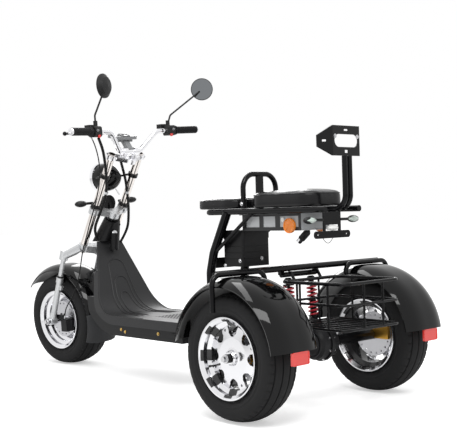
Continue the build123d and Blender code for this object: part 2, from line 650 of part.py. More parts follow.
# ---------------------------------------------------------------- frame
head_tube = extrude(fork_plane(head_bottom) * Circle(head_radius), amount=head_top - head_bottom)
head_tube -= extrude(fork_plane(head_bottom - 10) * Circle(stem_radius + fit),
                     amount=head_top - head_bottom + 20)
spine_r = 17.0
spine_depth = shell + fit + spine_r
spine_z = deck_z - spine_depth
spine_corner_x = bend_x + spine_depth / math.cos(lean) - spine_depth * math.tan(lean)
spine_top = Vector(front_top[0], 0, front_top[1]) + Vector(math.cos(lean), 0, -math.sin(lean)) * spine_depth
spine_rear_x = post_x
spine = rod([(spine_rear_x, 0, spine_z), (spine_corner_x, 0, spine_z), (spine_top.X, 0, spine_top.Z)],
            2 * spine_r, shield_bend + spine_depth)
spine -= extrude(fork_plane(head_bottom - 60) * Circle(stem_radius + fit), amount=200)
spine_clearance = rod([(spine_rear_x - 50, 0, spine_z), (spine_corner_x, 0, spine_z),
                       (spine_top.X, 0, spine_top.Z)],
                      2 * (spine_r + fit), shield_bend + spine_depth)
cross_member = cross_pin(post_x, 0, spine_z, 16, 2 * post_y - post_diameter - 2 * fit)
keep("main_frame", Part() + head_tube + spine + cross_member)

cover_top = 2.0              # stations along the steering axis
cover_bottom = -125.0
lock_back = 50.0             # the lock's barrel stands this far behind the steering axis
lock_top = -42.0
lock_barrel_r = 19.0
lock_length = 74.0
lock_face_r = 11.0
neck_cover = Part() + loft([fork_plane(cover_bottom, -14) * RectangleRounded(84, 122, 26),
                            fork_plane(cover_top, -4) * RectangleRounded(66, 68, 26)])
neck_cover -= extrude(fork_plane(head_bottom - 40) * Circle(head_radius + fit), amount=300)
neck_cover -= Pos(axis_x, 0, (shield_top_z + fit) / 2) * Box(400, 400, shield_top_z + fit)
lock_down = Vector(0.1, 0, -1).normalized()
lock_face_plane = Plane(along_fork(lock_top, -lock_back), x_dir=(0, 1, 0), z_dir=-lock_down)
lock_barrel = extrude(lock_face_plane * Circle(lock_barrel_r), amount=-lock_length)
lock_barrel -= board
neck_cover += lock_barrel - Pos(-2 * fit, 0, 0) * board
lock_groove = Circle(lock_face_r + 2) - Circle(lock_face_r)
neck_cover -= extrude(lock_face_plane * lock_groove, amount=-2)
neck_cover -= extrude(lock_face_plane * Rectangle(10, 2.4), amount=-3)
keep("neck_cover", neck_cover)
keep("battery_box", battery_box - spine_clearance)

# ---------------------------------------------------------------- seats
rider_front_x = 530.0
rider_rear_x = 276.0
rider_half = 105.0
rider_thickness = 46.0
passenger_front_x = 222.0
passenger_rear_x = -103.0
passenger_half = 103.0
passenger_thickness = 62.0


def pad(front_x, rear_x, half, thickness, corner, crown):
    """A crowned cushion on a flat base board."""
    plan = Plane(origin=((front_x + rear_x) / 2, 0, seat_base_z))
    body = extrude(plan * RectangleRounded(front_x - rear_x, 2 * half, corner), amount=thickness)
    return fillet(body.faces().sort_by(Axis.Z)[-1].edges(), crown)


keep("rider_seat", pad(rider_front_x, rider_rear_x, rider_half, rider_thickness, 70, 16))
passenger_pad = pad(passenger_front_x, passenger_rear_x, passenger_half, passenger_thickness, 60, 18)
keep("passenger_seat", passenger_pad)

# ---------------------------------------------------------------- seat frame
rail_r = seat_rail_diameter / 2
rail_z = seat_base_z - rail_r - fit
rail_front_x = 470.0
rail_rear_x = -160.0
rail = rod([(rail_rear_x, seat_rail_half_gap, rail_z), (rail_front_x, seat_rail_half_gap, rail_z),
            (rail_front_x, -seat_rail_half_gap, rail_z), (rail_rear_x, -seat_rail_half_gap, rail_z)],
           seat_rail_diameter, 50)
tie_x = -60.0
rear_tie = bar_between((tie_x, -seat_rail_half_gap, rail_z), (tie_x, seat_rail_half_gap, rail_z),
                       seat_rail_diameter)
keep("seat_rails", Part() + rail + rear_tie)

pivot_r = 15.0
post_foot_z = tyre_radius + pivot_r + fit
posts = None
for side in (1, -1):
    post = rod([(336, side * post_y, rail_z), (420, side * post_y, 545),
                (post_x, side * post_y, 470), (post_x, side * post_y, post_foot_z)], post_diameter, 60)
    strut = bar_between((190, side * post_y, rail_z), (410, side * post_y, 548), 14)
    piece = post + strut
    posts = piece if posts is None else posts + piece
posts -= both_sides(bar_between((rail_rear_x, seat_rail_half_gap, rail_z),
                                (rail_front_x, seat_rail_half_gap, rail_z),
                                2 * (rail_r + fit)))
keep("seat_posts", posts)

# ---------------------------------------------------------------- hoop between the seats
hoop_x = (rider_rear_x + passenger_front_x) / 2
hoop_half = 86.0
hoop_top = 841.0
hoop = rod([(hoop_x, -hoop_half, seat_base_z), (hoop_x, -hoop_half, hoop_top),
            (hoop_x, hoop_half, hoop_top),
            (hoop_x, hoop_half, seat_base_z)], 20, 55)
hoop += Pos(hoop_x, 0, (seat_base_z + hoop_top) / 2) * Box(12, 30, hoop_top - seat_base_z)
keep("seat_hoop", hoop)

# ---------------------------------------------------------------- backrest
back_x = -186.0
back_plate_z = 935.0
plate_gap = 52.0 + fit
back_post = None
for side in (1, -1):
    tube = rod([(tie_x - rail_r - fit, side * 13, rail_z), (back_x, side * 13, rail_z),
                (back_x, side * 13, back_plate_z - plate_gap)], 19, 50)
    back_post = tube if back_post is None else back_post + tube
keep("backrest_posts", back_post)
plate_half = 108.0
plate_height = 104.0
plate_fold_y = 70.0
plate_fold_forward = 38.0
plate_sheet = 4.0
folded = Polyline((back_x + plate_fold_forward, plate_half), (back_x, plate_fold_y),
                  (back_x, -plate_fold_y),
                  (back_x + plate_fold_forward, -plate_half),
                  (back_x + plate_fold_forward + plate_sheet, -plate_half),
                  (back_x + plate_sheet, -plate_fold_y + plate_sheet / 2),
                  (back_x + plate_sheet, plate_fold_y - plate_sheet / 2),
                  (back_x + plate_fold_forward + plate_sheet, plate_half), close=True)
sheet = Pos(0, 0, back_plate_z - plate_height / 2) * extrude(make_face(folded), amount=plate_height)
end_half = 20.0
outline = Polyline((plate_half, end_half), (plate_fold_y, plate_height / 2),
                   (-plate_fold_y, plate_height / 2),
                   (-plate_half, end_half), (-plate_half, -end_half), (-plate_fold_y, -plate_height / 2),
                   (plate_fold_y, -plate_height / 2), (plate_half, -end_half), close=True)
across = Plane(origin=(back_x - 20, 0, back_plate_z), x_dir=(0, 1, 0), z_dir=(1, 0, 0))
backrest = sheet & extrude(across * make_face(outline), amount=100)
backrest -= extrude(across * SlotOverall(122, 44), amount=60)
for y, z, wide, tall in ((0, 37, 22, 6), (0, -37, 18, 10), (90, 0, 12, 7), (-90, 0, 12, 7)):
    backrest -= extrude(across * Pos(y, z) * Rectangle(wide, tall), amount=100)
keep("backrest_plate", backrest)

# ---------------------------------------------------------------- under the seat
tray_top = rail_z - rail_r - fit
tray_length = 300.0
tray_half = 75.0
tray_height = 61.0
tray_sheet = 2.5
tray_x = 120.0
tray_centre_z = tray_top - tray_height / 2
tray = Pos(tray_x, 0, tray_centre_z) * Box(tray_length, 2 * tray_half, tray_height)
tray -= Pos(tray_x, 0, tray_centre_z) * Box(tray_length + 10, 2 * (tray_half - tray_sheet),
                                            tray_height - 2 * tray_sheet)
for x, wide in ((28, 92), (128, 62), (214, 70)):
    tray -= Pos(x, 0, tray_centre_z + 2) * Box(wide, 4 * tray_half, tray_height - 22)
tray += Pos(tray_x, 0, tray_top - tray_sheet / 2) * Box(tray_length, 2 * seat_rail_half_gap, tray_sheet)
inner = Box(tray_length - 6, 2 * (tray_half - tray_sheet - fit), tray_height - 2 * tray_sheet - 2 * fit)
inner = Pos(tray_x, 0, tray_centre_z) * fillet(inner.edges().filter_by(Axis.Z), 6)
keep("electronics_tray", tray + inner)
case_x = 331.0
case_z = 562.0
case = Pos(case_x, 0, case_z) * fillet(Box(112, 140, 138).edges().filter_by(Axis.Z), 10)
for z in (-40, -16, 8):
    case -= Pos(case_x, 0, case_z + z) * (Box(130, 160, 4) - Box(106, 134, 6))
lid_z = case_z + 48
case += Pos(case_x, 0, lid_z) * fillet(Box(118, 143, 24).edges().filter_by(Axis.Z), 12)
case += Pos(431, 0, 505) * Box(8, 2 * post_y - post_diameter - 2 * fit, 40)
case += Pos(402, 0, 505) * Box(52, 40, 16)
keep("controller_case", case)
reflectors = both_sides(cross_pin(20, 79, 646, 26, 8))
keep("side_reflectors", reflectors)

# ---------------------------------------------------------------- tail
tail_x = -108.0
bracket_top = rail_z - 9.5 - fit
lamp_z = 632.0
bracket = Pos(tail_x, 0, (bracket_top + 646) / 2) * Box(6, 90, bracket_top - 646)
bracket += Pos(tail_x, 0, 634) * (Box(6, 90, 36) - Box(12, 70, 40))
lamp = scale(Sphere(10), (1.7, 2.6, 1.0)) - Pos(20, 0, 0) * Box(40, 60, 60)
lamp += Pos(4, 0, 0) * Box(8, 40, 16)
keep("plate_lamp", Pos(tail_x - 2, 0, lamp_z + 3) * lamp)
plate_hole_r = 3.3
plate_hole_spacing = 150.0
plate_bar = Pos(tail_x - 3, 0, 612) * Rot(0, 90, 0) * extrude(RectangleRounded(26, 190, 12), amount=3)
bracket += plate_bar
for y in (-plate_hole_spacing / 2, plate_hole_spacing / 2):
    bracket -= Pos(tail_x, y, 612) * Rot(0, 90, 0) * Cylinder(plate_hole_r, 20)
keep("tail_bracket", bracket)
tail_signals = None
for side in (1, -1):
    stalk = bar_between((tail_x, side * (45 + fit), 664), (tail_x, side * 90, 664), 10)
    body = Pos(tail_x, side * 115, 664) * scale(Sphere(16), (0.9, 1.7, 0.8))
    part = stalk + body
    tail_signals = part if tail_signals is None else tail_signals + part
keep("rear_turn_signals", tail_signals)

# ---------------------------------------------------------------- rear fenders
fender_front = 10.0           # degrees up from straight ahead
fender_rear = 172.0
rear_fender = Pos(0, 0, tyre_radius) * fender_between(
    fender_crown_radius, fender_edge_radius, fender_inner_y, fender_outer_y, fender_wall, fender_front,
    fender_rear)
keep("rear_fenders", both_sides(rear_fender))

# ---------------------------------------------------------------- fender hoops and crossbar
guard_x = 18.0
guard_bar = 18.0
guard_z = tyre_radius + fender_crown_radius + guard_bar / 2 + fit
crossbar_x = guard_x + 20
crossbar_r = 11.0
rails = None
for side in (1, -1):
    loop = rod([(guard_x, side * 458, 372), (guard_x, side * 458, guard_z), (guard_x, side * 214, guard_z),
                (guard_x, side * 214, 440)], guard_bar, 34)
    rails = loop if rails is None else rails + loop
rails += bar_between((crossbar_x, -425, guard_z), (crossbar_x, 425, guard_z), 2 * crossbar_r)
keep("fender_rails", rails)

# ---------------------------------------------------------------- basket
mid_x = (basket_front_x + basket_rear_x) / 2
long_x = basket_front_x - basket_rear_x


def ring_at(z, diameter):
    path = Plane(origin=(mid_x, 0, z)) * RectangleRounded(long_x, 2 * basket_half_width, 30)
    wire = path.face().outer_wire()
    section = Plane(origin=wire @ 0, z_dir=wire % 0) * Circle(diameter / 2)
    return sweep(section, path=wire)


basket_mid_z = (basket_floor_z + basket_top_z) / 2 + 6
basket = ring_at(basket_floor_z, basket_rod + 1) + ring_at(basket_mid_z, basket_rod) \
    + ring_at(basket_top_z, basket_rod + 3)
for y in (-100, -60, -20, 20, 60, 100):
    basket += bar_between((basket_front_x, y, basket_floor_z), (basket_rear_x, y, basket_floor_z), 7)
for y in (-50, 50):
    for x in (basket_front_x, basket_rear_x):
        basket += bar_between((x, y, basket_floor_z), (x, y, basket_top_z), 8)
for x in (mid_x - 70, mid_x + 70):
    for side in (1, -1):
        basket += bar_between((x, side * basket_half_width, basket_floor_z),
                              (x, side * basket_half_width, basket_top_z), 8)
for y in (-70, 70):
    hanger = side_plate([(basket_front_x - 4, basket_top_z - 6), (basket_front_x + 6, basket_top_z - 6),
                         (crossbar_x + 4, guard_z - crossbar_r - fit),
                         (crossbar_x - 10, guard_z - crossbar_r - fit)],
                        y - 3, 6)
    basket += hanger
keep("basket", basket)

# ---------------------------------------------------------------- rear reflectors
reds = both_sides(Pos(-262, 344, 233.2) * Box(8, 76, 40))
keep("rear_reflectors", reds)

# ---------------------------------------------------------------- rear axle and drive
axle_reach = track / 2 + rear_face_at + 16
hub_inner = track / 2 + rear_face_at - hub_length
axle = cross_pin(0, 0, tyre_radius, hub_bore, 2 * (axle_reach + 14))
axle += both_sides(cross_pin(0, axle_reach + 9 + fit, tyre_radius, 15, 14))
shock_y = 60.0
shock_foot_z = tyre_radius + 66
motor_left = 35.0
motor_right = -100.0
axle_tube_r = 20.0
tube_outer = hub_inner - disc_thickness - 2 * fit - 1
for low, high in ((motor_left + fit, tube_outer), (-tube_outer, motor_right - fit)):
    axle += cross_pin(0, (low + high) / 2, tyre_radius, axle_tube_r, high - low)
foot_top = shock_foot_z - fit
lug = Pos(24, shock_y, (tyre_radius + foot_top) / 2) * Box(46, 20, foot_top - tyre_radius)
axle += lug - cross_pin(0, 0, tyre_radius, hub_bore, 400)
keep("rear_axle", axle)
motor = turned(make_face(Polyline(
    (motor_right, hub_bore + fit), (motor_right, 34), (-92, 46), (-84, 46), (-84, 54), (-46, 60),
    (-46, 66), (-34, 66), (-34, 61), (-4, 58), (6, 50), (14, 50), (14, 44), (22, 40),
    (motor_left, 30), (motor_left, hub_bore + fit),
    close=True)))
motor = Pos(0, 0, tyre_radius) * motor
for i in range(8):
    angle = math.radians(45 * i + 22)
    motor += cross_pin(60 * math.cos(angle), -40, tyre_radius + 60 * math.sin(angle), 6, 22)
for i in range(12):
    rib = Rot(0, 30 * i, 0) * Pos(52, -64, 0) * Box(12, 34, 3)
    motor += Pos(0, 0, tyre_radius) * rib
motor += Pos(30, -shock_y, (tyre_radius + 40 + foot_top) / 2) * Box(40, 20, foot_top - tyre_radius - 40)
keep("drive_motor", motor)

disc_y = hub_inner - disc_thickness / 2 - fit
caliper_y = disc_y - 3
calipers = both_sides(Pos(-66, caliper_y, tyre_radius + 16) * Box(36, 34, 60))
bracket_y = disc_y - disc_thickness / 2 - 10
calipers += both_sides(Pos(-36, bracket_y, tyre_radius + 8) * Box(60, 8, 44))
calipers -= cross_pin(0, 0, tyre_radius, 20 + fit, 2 * tube_outer + 2)
for side in (1, -1):
    calipers -= cross_pin(0, side * disc_y, tyre_radius, disc_radius + disc_gap,
                          disc_thickness + 2 * disc_gap)
keep("rear_calipers", calipers)

shock_top = Vector(56, shock_y, 0)
subframe_r = 11.0
subframe_front = Vector(post_x - post_diameter / 2 - fit, post_y, 462)
subframe_rear = Vector(crossbar_x + crossbar_r + fit, post_y, guard_z)
subframe = both_sides(bar_between(subframe_front, subframe_rear, 2 * subframe_r))
shock_bar_z = 470.0
subframe += cross_pin(shock_top.X + 4, 0, shock_bar_z, 10, 2 * post_y)
subframe += both_sides(Pos(shock_top.X + 4, post_y, shock_bar_z + 10) * Box(16, 16, 20))
keep("rear_subframe", subframe)
shocks = both_sides(bar_between((44, shock_y, shock_foot_z + 1.2),
                                (shock_top.X, shock_y, shock_bar_z - 10 - fit), 42))
keep("rear_shocks", shocks)

arm_r = 14.0
swing_arm = cross_pin(post_x, 0, tyre_radius, pivot_r, 2 * post_y + post_diameter)
arm_y = 70.0
swing_arm += bar_between((post_x, arm_y, tyre_radius), (0, arm_y, tyre_radius), 2 * arm_r)
swing_arm += bar_between((post_x, -arm_y, tyre_radius), (50, -arm_y, tyre_radius), 2 * arm_r)
swing_arm -= cross_pin(0, arm_y, tyre_radius, axle_tube_r + fit, 60)
swing_arm -= cross_pin(0, -arm_y, tyre_radius, 59 + fit, 60)
swing_arm -= Pos(24, shock_y, tyre_radius) * Box(46 + 2 * fit, 20 + 2 * fit, 60)
swing_arm += bar_between((260, -70, tyre_radius), (260, 70, tyre_radius), 22)
keep("swing_arm", swing_arm)

for name, shape in nodes.items():
    export_step(shape, f"parts/{name}.step")
print("origin_x", origin_x, "steering axis at", axis_point - Vector(origin_x, 0, 0), up_axis)
turn = Axis((0, 0, 0), tuple(up_axis))
wheel_centre = axis_point + (front_axle - axis_point).rotate(turn, steer_at_rest)
wheel_axis = Vector(0, 1, 0).rotate(turn, steer_at_rest)
print("front wheel at", wheel_centre.X - origin_x, wheel_centre.Y, wheel_centre.Z, "axis", wheel_axis)
print("steering range", -steer_each_way - steer_at_rest, steer_each_way - steer_at_rest)
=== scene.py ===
import math
import bmesh
import bpy
from mathutils import Matrix, Vector, noise
from mathutils.bvhtree import BVHTree


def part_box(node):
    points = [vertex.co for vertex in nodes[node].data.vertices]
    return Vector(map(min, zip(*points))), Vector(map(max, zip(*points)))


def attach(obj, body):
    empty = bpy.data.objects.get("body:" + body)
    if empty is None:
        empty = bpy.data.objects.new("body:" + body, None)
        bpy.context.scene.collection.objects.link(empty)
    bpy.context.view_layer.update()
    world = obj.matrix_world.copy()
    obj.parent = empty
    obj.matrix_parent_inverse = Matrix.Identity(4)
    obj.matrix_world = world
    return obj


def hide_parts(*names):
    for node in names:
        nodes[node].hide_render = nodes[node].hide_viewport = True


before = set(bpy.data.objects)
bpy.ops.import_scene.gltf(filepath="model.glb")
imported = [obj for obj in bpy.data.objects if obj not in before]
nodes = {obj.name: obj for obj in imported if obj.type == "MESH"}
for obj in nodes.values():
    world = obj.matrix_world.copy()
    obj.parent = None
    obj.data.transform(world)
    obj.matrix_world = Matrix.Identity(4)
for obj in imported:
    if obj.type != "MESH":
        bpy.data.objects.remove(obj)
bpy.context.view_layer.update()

scene = bpy.context.scene

# ---------------------------------------------------------------- studio
# A pale seamless studio: a white floor under a white surround, a broad soft key light high behind
# the left shoulder of the viewer, a long overhead strip for the paint and a weak light opposite.
scene.view_settings.view_transform = "Standard"


def fill(tree, node, inputs):
    """Give a node's inputs their values, or links where the value is another node's socket."""
    for key, value in inputs.items():
        if isinstance(value, bpy.types.NodeSocket):
            tree.links.new(value, node.inputs[key])
        else:
            node.inputs[key].default_value = value


def add_node(tree, kind, inputs=None, **settings):
    """A new node with its settings and inputs."""
    node = tree.nodes.new(kind)
    for key, value in settings.items():
        setattr(node, key, value)
    fill(tree, node, inputs or {})
    return node


def add_math(tree, operation, *values):
    """The result of a Math node."""
    return add_node(tree, "ShaderNodeMath", dict(enumerate(values)), operation=operation).outputs[0]


world = bpy.data.worlds.new("studio")
world.use_nodes = True
scene.world = world
sky = world.node_tree
ambient_strength = 0.72       # what lights the object; the surround is seen and mirrored at 1
rays = add_node(sky, "ShaderNodeLightPath").outputs
mirrored = add_math(sky, "MAXIMUM", rays["Is Glossy Ray"], rays["Is Transmission Ray"])
seen = add_math(sky, "MAXIMUM", rays["Is Camera Ray"], mirrored)
level = add_node(sky, "ShaderNodeMapRange", {"Value": seen, "To Min": ambient_strength})
fill(sky, sky.nodes["Background"], {"Color": (1, 1, 1, 1), "Strength": level.outputs["Result"]})


def area_light(name, place, aim, size, power):
    """A rectangular soft light at place, looking at aim."""
    data = bpy.data.lights.new(name, "AREA")
    data.shape = "RECTANGLE"
    data.size, data.size_y = size
    data.energy = power
    light = bpy.data.objects.new(name, data)
    scene.collection.objects.link(light)
    light.location = place
    light.rotation_euler = (Vector(aim) - Vector(place)).to_track_quat("-Z", "Y").to_euler()


area_light("key", (-2.2, 1.6, 3.0), (0, 0, 0.4), (2.2, 1.0), 62)
area_light("overhead", (0.2, 0.2, 3.4), (0, 0, 0.4), (3.4, 0.7), 38)
area_light("opposite", (2.4, -2.2, 1.9), (0, 0, 0.5), (1.6, 1.0), 26)

floor_half = 30
floor_glow = 0.46             # lifts the floor to white where it is seen, and keeps its shadows
floor_mesh = bpy.data.meshes.new("floor")
floor_corners = [(x * floor_half, y * floor_half, 0) for x, y in ((-1, -1), (1, -1), (1, 1), (-1, 1))]
floor_mesh.from_pydata(floor_corners, [], [(0, 1, 2, 3)])
floor = bpy.data.objects.new("floor", floor_mesh)
scene.collection.objects.link(floor)
floor_paint = bpy.data.materials.new("floor_white")
floor_paint.use_nodes = True
tree = floor_paint.node_tree
tree.nodes.remove(tree.nodes["Principled BSDF"])
matt = add_node(tree, "ShaderNodeBsdfDiffuse", {"Color": (0.9, 0.9, 0.9, 1)})
rays = add_node(tree, "ShaderNodeLightPath").outputs
glow = add_node(tree, "ShaderNodeEmission", {"Strength": add_math(tree, "MULTIPLY", rays["Is Camera Ray"],
                                                                  floor_glow)})
lit = add_node(tree, "ShaderNodeAddShader", {0: matt.outputs[0], 1: glow.outputs[0]})
fill(tree, tree.nodes["Material Output"], {"Surface": lit.outputs[0]})
floor_mesh.materials.append(floor_paint)

camera_data = bpy.data.cameras.new("camera")
camera_data.sensor_width = 36
camera_data.lens = 74.9
camera = bpy.data.objects.new("camera", camera_data)
scene.collection.objects.link(camera)
scene.camera = camera
camera_yaw, camera_pitch, camera_roll = math.radians(-42.4), math.radians(-0.44), math.radians(-1.75)
look = Vector((math.cos(camera_pitch) * math.cos(camera_yaw), math.cos(camera_pitch) * math.sin(camera_yaw),
               math.sin(camera_pitch)))
camera.location = (-3.090, 2.519, 0.706)
facing = look.to_track_quat("-Z", "Y").to_matrix().to_4x4()
camera.matrix_world = Matrix.Translation(camera.location) @ facing @ Matrix.Rotation(camera_roll, 4, "Z")

# ---------------------------------------------------------------- tyres
# Three wide low-pressure road tyres of matt moulded rubber, cured in one piece: four channels run
# round the tread, short slots cut the shoulders and a raised ring marks each sidewall.


def finish(name, colour, rough, metallic=0.0, grain=320.0, bump=0.12, depth=0.0004, mottle=0.14, spread=0.07,
           cloud=9.0, specular=0.5, coat=0.0):
    """A surface with fine grain in its relief and a slow cloudy change in its colour and roughness."""
    paint = bpy.data.materials.new(name)
    paint.use_nodes = True
    tree = paint.node_tree
    where = add_node(tree, "ShaderNodeTexCoord").outputs["Object"]
    fine = add_node(tree, "ShaderNodeTexNoise", {"Vector": where, "Scale": grain, "Detail": 5})
    slow = add_node(tree, "ShaderNodeTexNoise", {"Vector": where, "Scale": cloud, "Detail": 4}).outputs["Fac"]
    relief = add_node(tree, "ShaderNodeBump", {"Height": fine.outputs["Fac"], "Strength": bump,
                                               "Distance": depth})
    tint = add_node(tree, "ShaderNodeMix", data_type="RGBA")
    fill(tree, tint, {"Factor": slow, "A": (*[c * (1 - mottle) for c in colour], 1),
                      "B": (*[min(c * (1 + mottle), 1) for c in colour], 1)})
    dull = add_node(tree, "ShaderNodeMapRange", {"Value": slow, "To Min": max(rough - spread, 0.02),
                                                 "To Max": rough + spread})
    fill(tree, tree.nodes["Principled BSDF"], {
        "Metallic": metallic, "Specular IOR Level": specular, "Coat Weight": coat, "Coat Roughness": 0.04,
        "Normal": relief.outputs["Normal"], "Base Color": tint.outputs["Result"],
        "Roughness": dull.outputs["Result"]})
    return paint


def surface_of(mesh):
    """A mesh's surface, to cast rays at."""
    return BVHTree.FromPolygons([v.co for v in mesh.vertices], [list(p.vertices) for p in mesh.polygons])


def dress(paint, *names):
    """Give CAD nodes this surface."""
    for name in names:
        mesh = nodes[name].data
        if not mesh.materials:
            mesh.materials.append(paint)
        for i in range(len(mesh.materials)):
            mesh.materials[i] = paint


def piece(name, bm, paint, body, replaces=(), smooth=True):
    """Turn a bmesh into a finished piece on a body."""
    bmesh.ops.recalc_face_normals(bm, faces=bm.faces)
    mesh = bpy.data.meshes.new(name)
    bm.to_mesh(mesh)
    bm.free()
    mesh.polygons.foreach_set("use_smooth", [smooth] * len(mesh.polygons))
    made = bpy.data.objects.new(name, mesh)
    scene.collection.objects.link(made)
    mesh.materials.append(paint)
    if smooth:
        mesh.set_sharp_from_angle(angle=math.radians(38))
    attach(made, body)
    if replaces:
        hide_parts(*replaces)
    return made


def toward(place, direction, spin=(0, 0, 1)):
    """A matrix at place whose local Z looks along direction."""
    z = Vector(direction).normalized()
    x = Vector(spin).cross(z)
    if x.length < 1e-4:
        x = Vector((1, 0, 0)).cross(z)
    x.normalize()
    turned = Matrix((x, z.cross(x), z)).transposed().to_4x4()
    return Matrix.Translation(Vector(place)) @ turned


def lathe(bm, outline, steps, matrix, ring=False, shape=None):
    """Turn an outline of (along, radius) pairs about the matrix's Z; a ring joins its own ends."""
    rows = []
    for along, radius in outline:
        if radius == 0:
            rows.append([bm.verts.new(matrix @ Vector((0, 0, along)))] * steps)
            continue
        row = []
        for i in range(steps):
            angle = 2 * math.pi * i / steps
            r = radius if shape is None else shape(i, along, radius)
            row.append(bm.verts.new(matrix @ Vector((r * math.cos(angle), r * math.sin(angle), along))))
        rows.append(row)
    pairs = list(zip(rows, rows[1:])) + ([(rows[-1], rows[0])] if ring else [])
    for a, b in pairs:
        for i in range(steps):
            j = (i + 1) % steps
            corners = list(dict.fromkeys((a[i], a[j], b[j], b[i])))
            if len(corners) > 2:
                bm.faces.new(corners)


tyre_rubber = finish("tyre_rubber", (0.010, 0.010, 0.0105), 0.72, grain=900, bump=0.35, depth=0.0006,
                     specular=0.25)
tyre_radius = 0.217
shoulder_radius = 0.205
rim_edge_radius = 0.140
groove_depth = 0.0045
groove_half = 0.0028
slot_pitch = 6               # one shoulder slot in so many steps round the tyre
tyre_steps = 252


def tyre_outline(half):
    """Half a tyre's section from the bead out, then mirrored: (along the axle, radius)."""
    shoulder = half - 0.013
    bead = half - 0.0163
    side = [(bead, 0.1275), (bead, rim_edge_radius), (half - 0.0085, 0.147), (half - 0.003, 0.156),
            (half - 0.0012, 0.161), (half - 0.0022, 0.163), (half - 0.0008, 0.170), (half, 0.177),
            (half - 0.0015, 0.187), (half - 0.0048, 0.196), (half - 0.009, 0.202),
            (shoulder, shoulder_radius)]
    across = []
    channels = [shoulder * f for f in (0.80, 0.28)]
    for k in range(1, 40):
        y = shoulder * (1 - k / 40)
        across.append(y)
    for c in channels:
        across += [c + groove_half, c + groove_half * 0.7, c - groove_half * 0.7, c - groove_half]
    tread = []
    for y in sorted(set(across), reverse=True):
        r = shoulder_radius + (tyre_radius - shoulder_radius) * (1 - (y / shoulder) ** 2)
        if any(abs(y - c) < groove_half * 0.75 for c in channels):
            r -= groove_depth
        tread.append((y, r))
    outer = side + tread
    outer = outer + [(-y, r) for y, r in reversed(outer) if y > 1e-6]
    wall = 0.011
    inner = [(-(bead - wall), 0.1275), (-(half - wall), 0.170), (-(shoulder - wall), 0.194), (0, 0.206),
             (shoulder - wall, 0.194), (half - wall, 0.170), (bead - wall, 0.1275)]
    return outer + inner


def slotted(half):
    """Shoulder slots, staggered from side to side, and small blocks low on the sidewall."""
    shoulder = half - 0.013

    def shape(i, along, radius):
        side = i + (slot_pitch // 2 if along < 0 else 0)
        if side % slot_pitch == 0 and radius > 0.199 and abs(along) > shoulder * 0.86:
            return radius - 0.0035
        if side % (slot_pitch * 2) < 4 and 0.1465 < radius < 0.1575 and abs(along) > half - 0.012:
            return radius + 0.0016
        return radius
    return shape


wheel_places = {
    "front": (Vector((0.81071, 0.00647, 0.21682)), Vector((-0.08922, 0.99452, -0.05446)), 0.077),
    "rear_left": (Vector((-0.760, 0.356, 0.217)), Vector((0, 1, 0)), 0.070),
    "rear_right": (Vector((-0.760, -0.356, 0.217)), Vector((0, -1, 0)), 0.070)}
for wheel, (centre, axle, half) in wheel_places.items():
    bm = bmesh.new()
    lathe(bm, tyre_outline(half), tyre_steps, toward(centre, axle), ring=True, shape=slotted(half))
    piece(f"{wheel}_tread_tyre", bm, tyre_rubber, f"{wheel}_wheel", (f"{wheel}_tyre",))

# ---------------------------------------------------------------- rims, discs and valves
# Cast alloy rims: the lip and the spokes' faces are machined and polished; the barrel behind them and the
# pockets are coloured black, partly their black paint and partly painted shade of the dark recesses, drawn
# wider than the cut windows. Drilled steel discs are ground in circles. Each rim has a rubber valve and an axle
# nut.


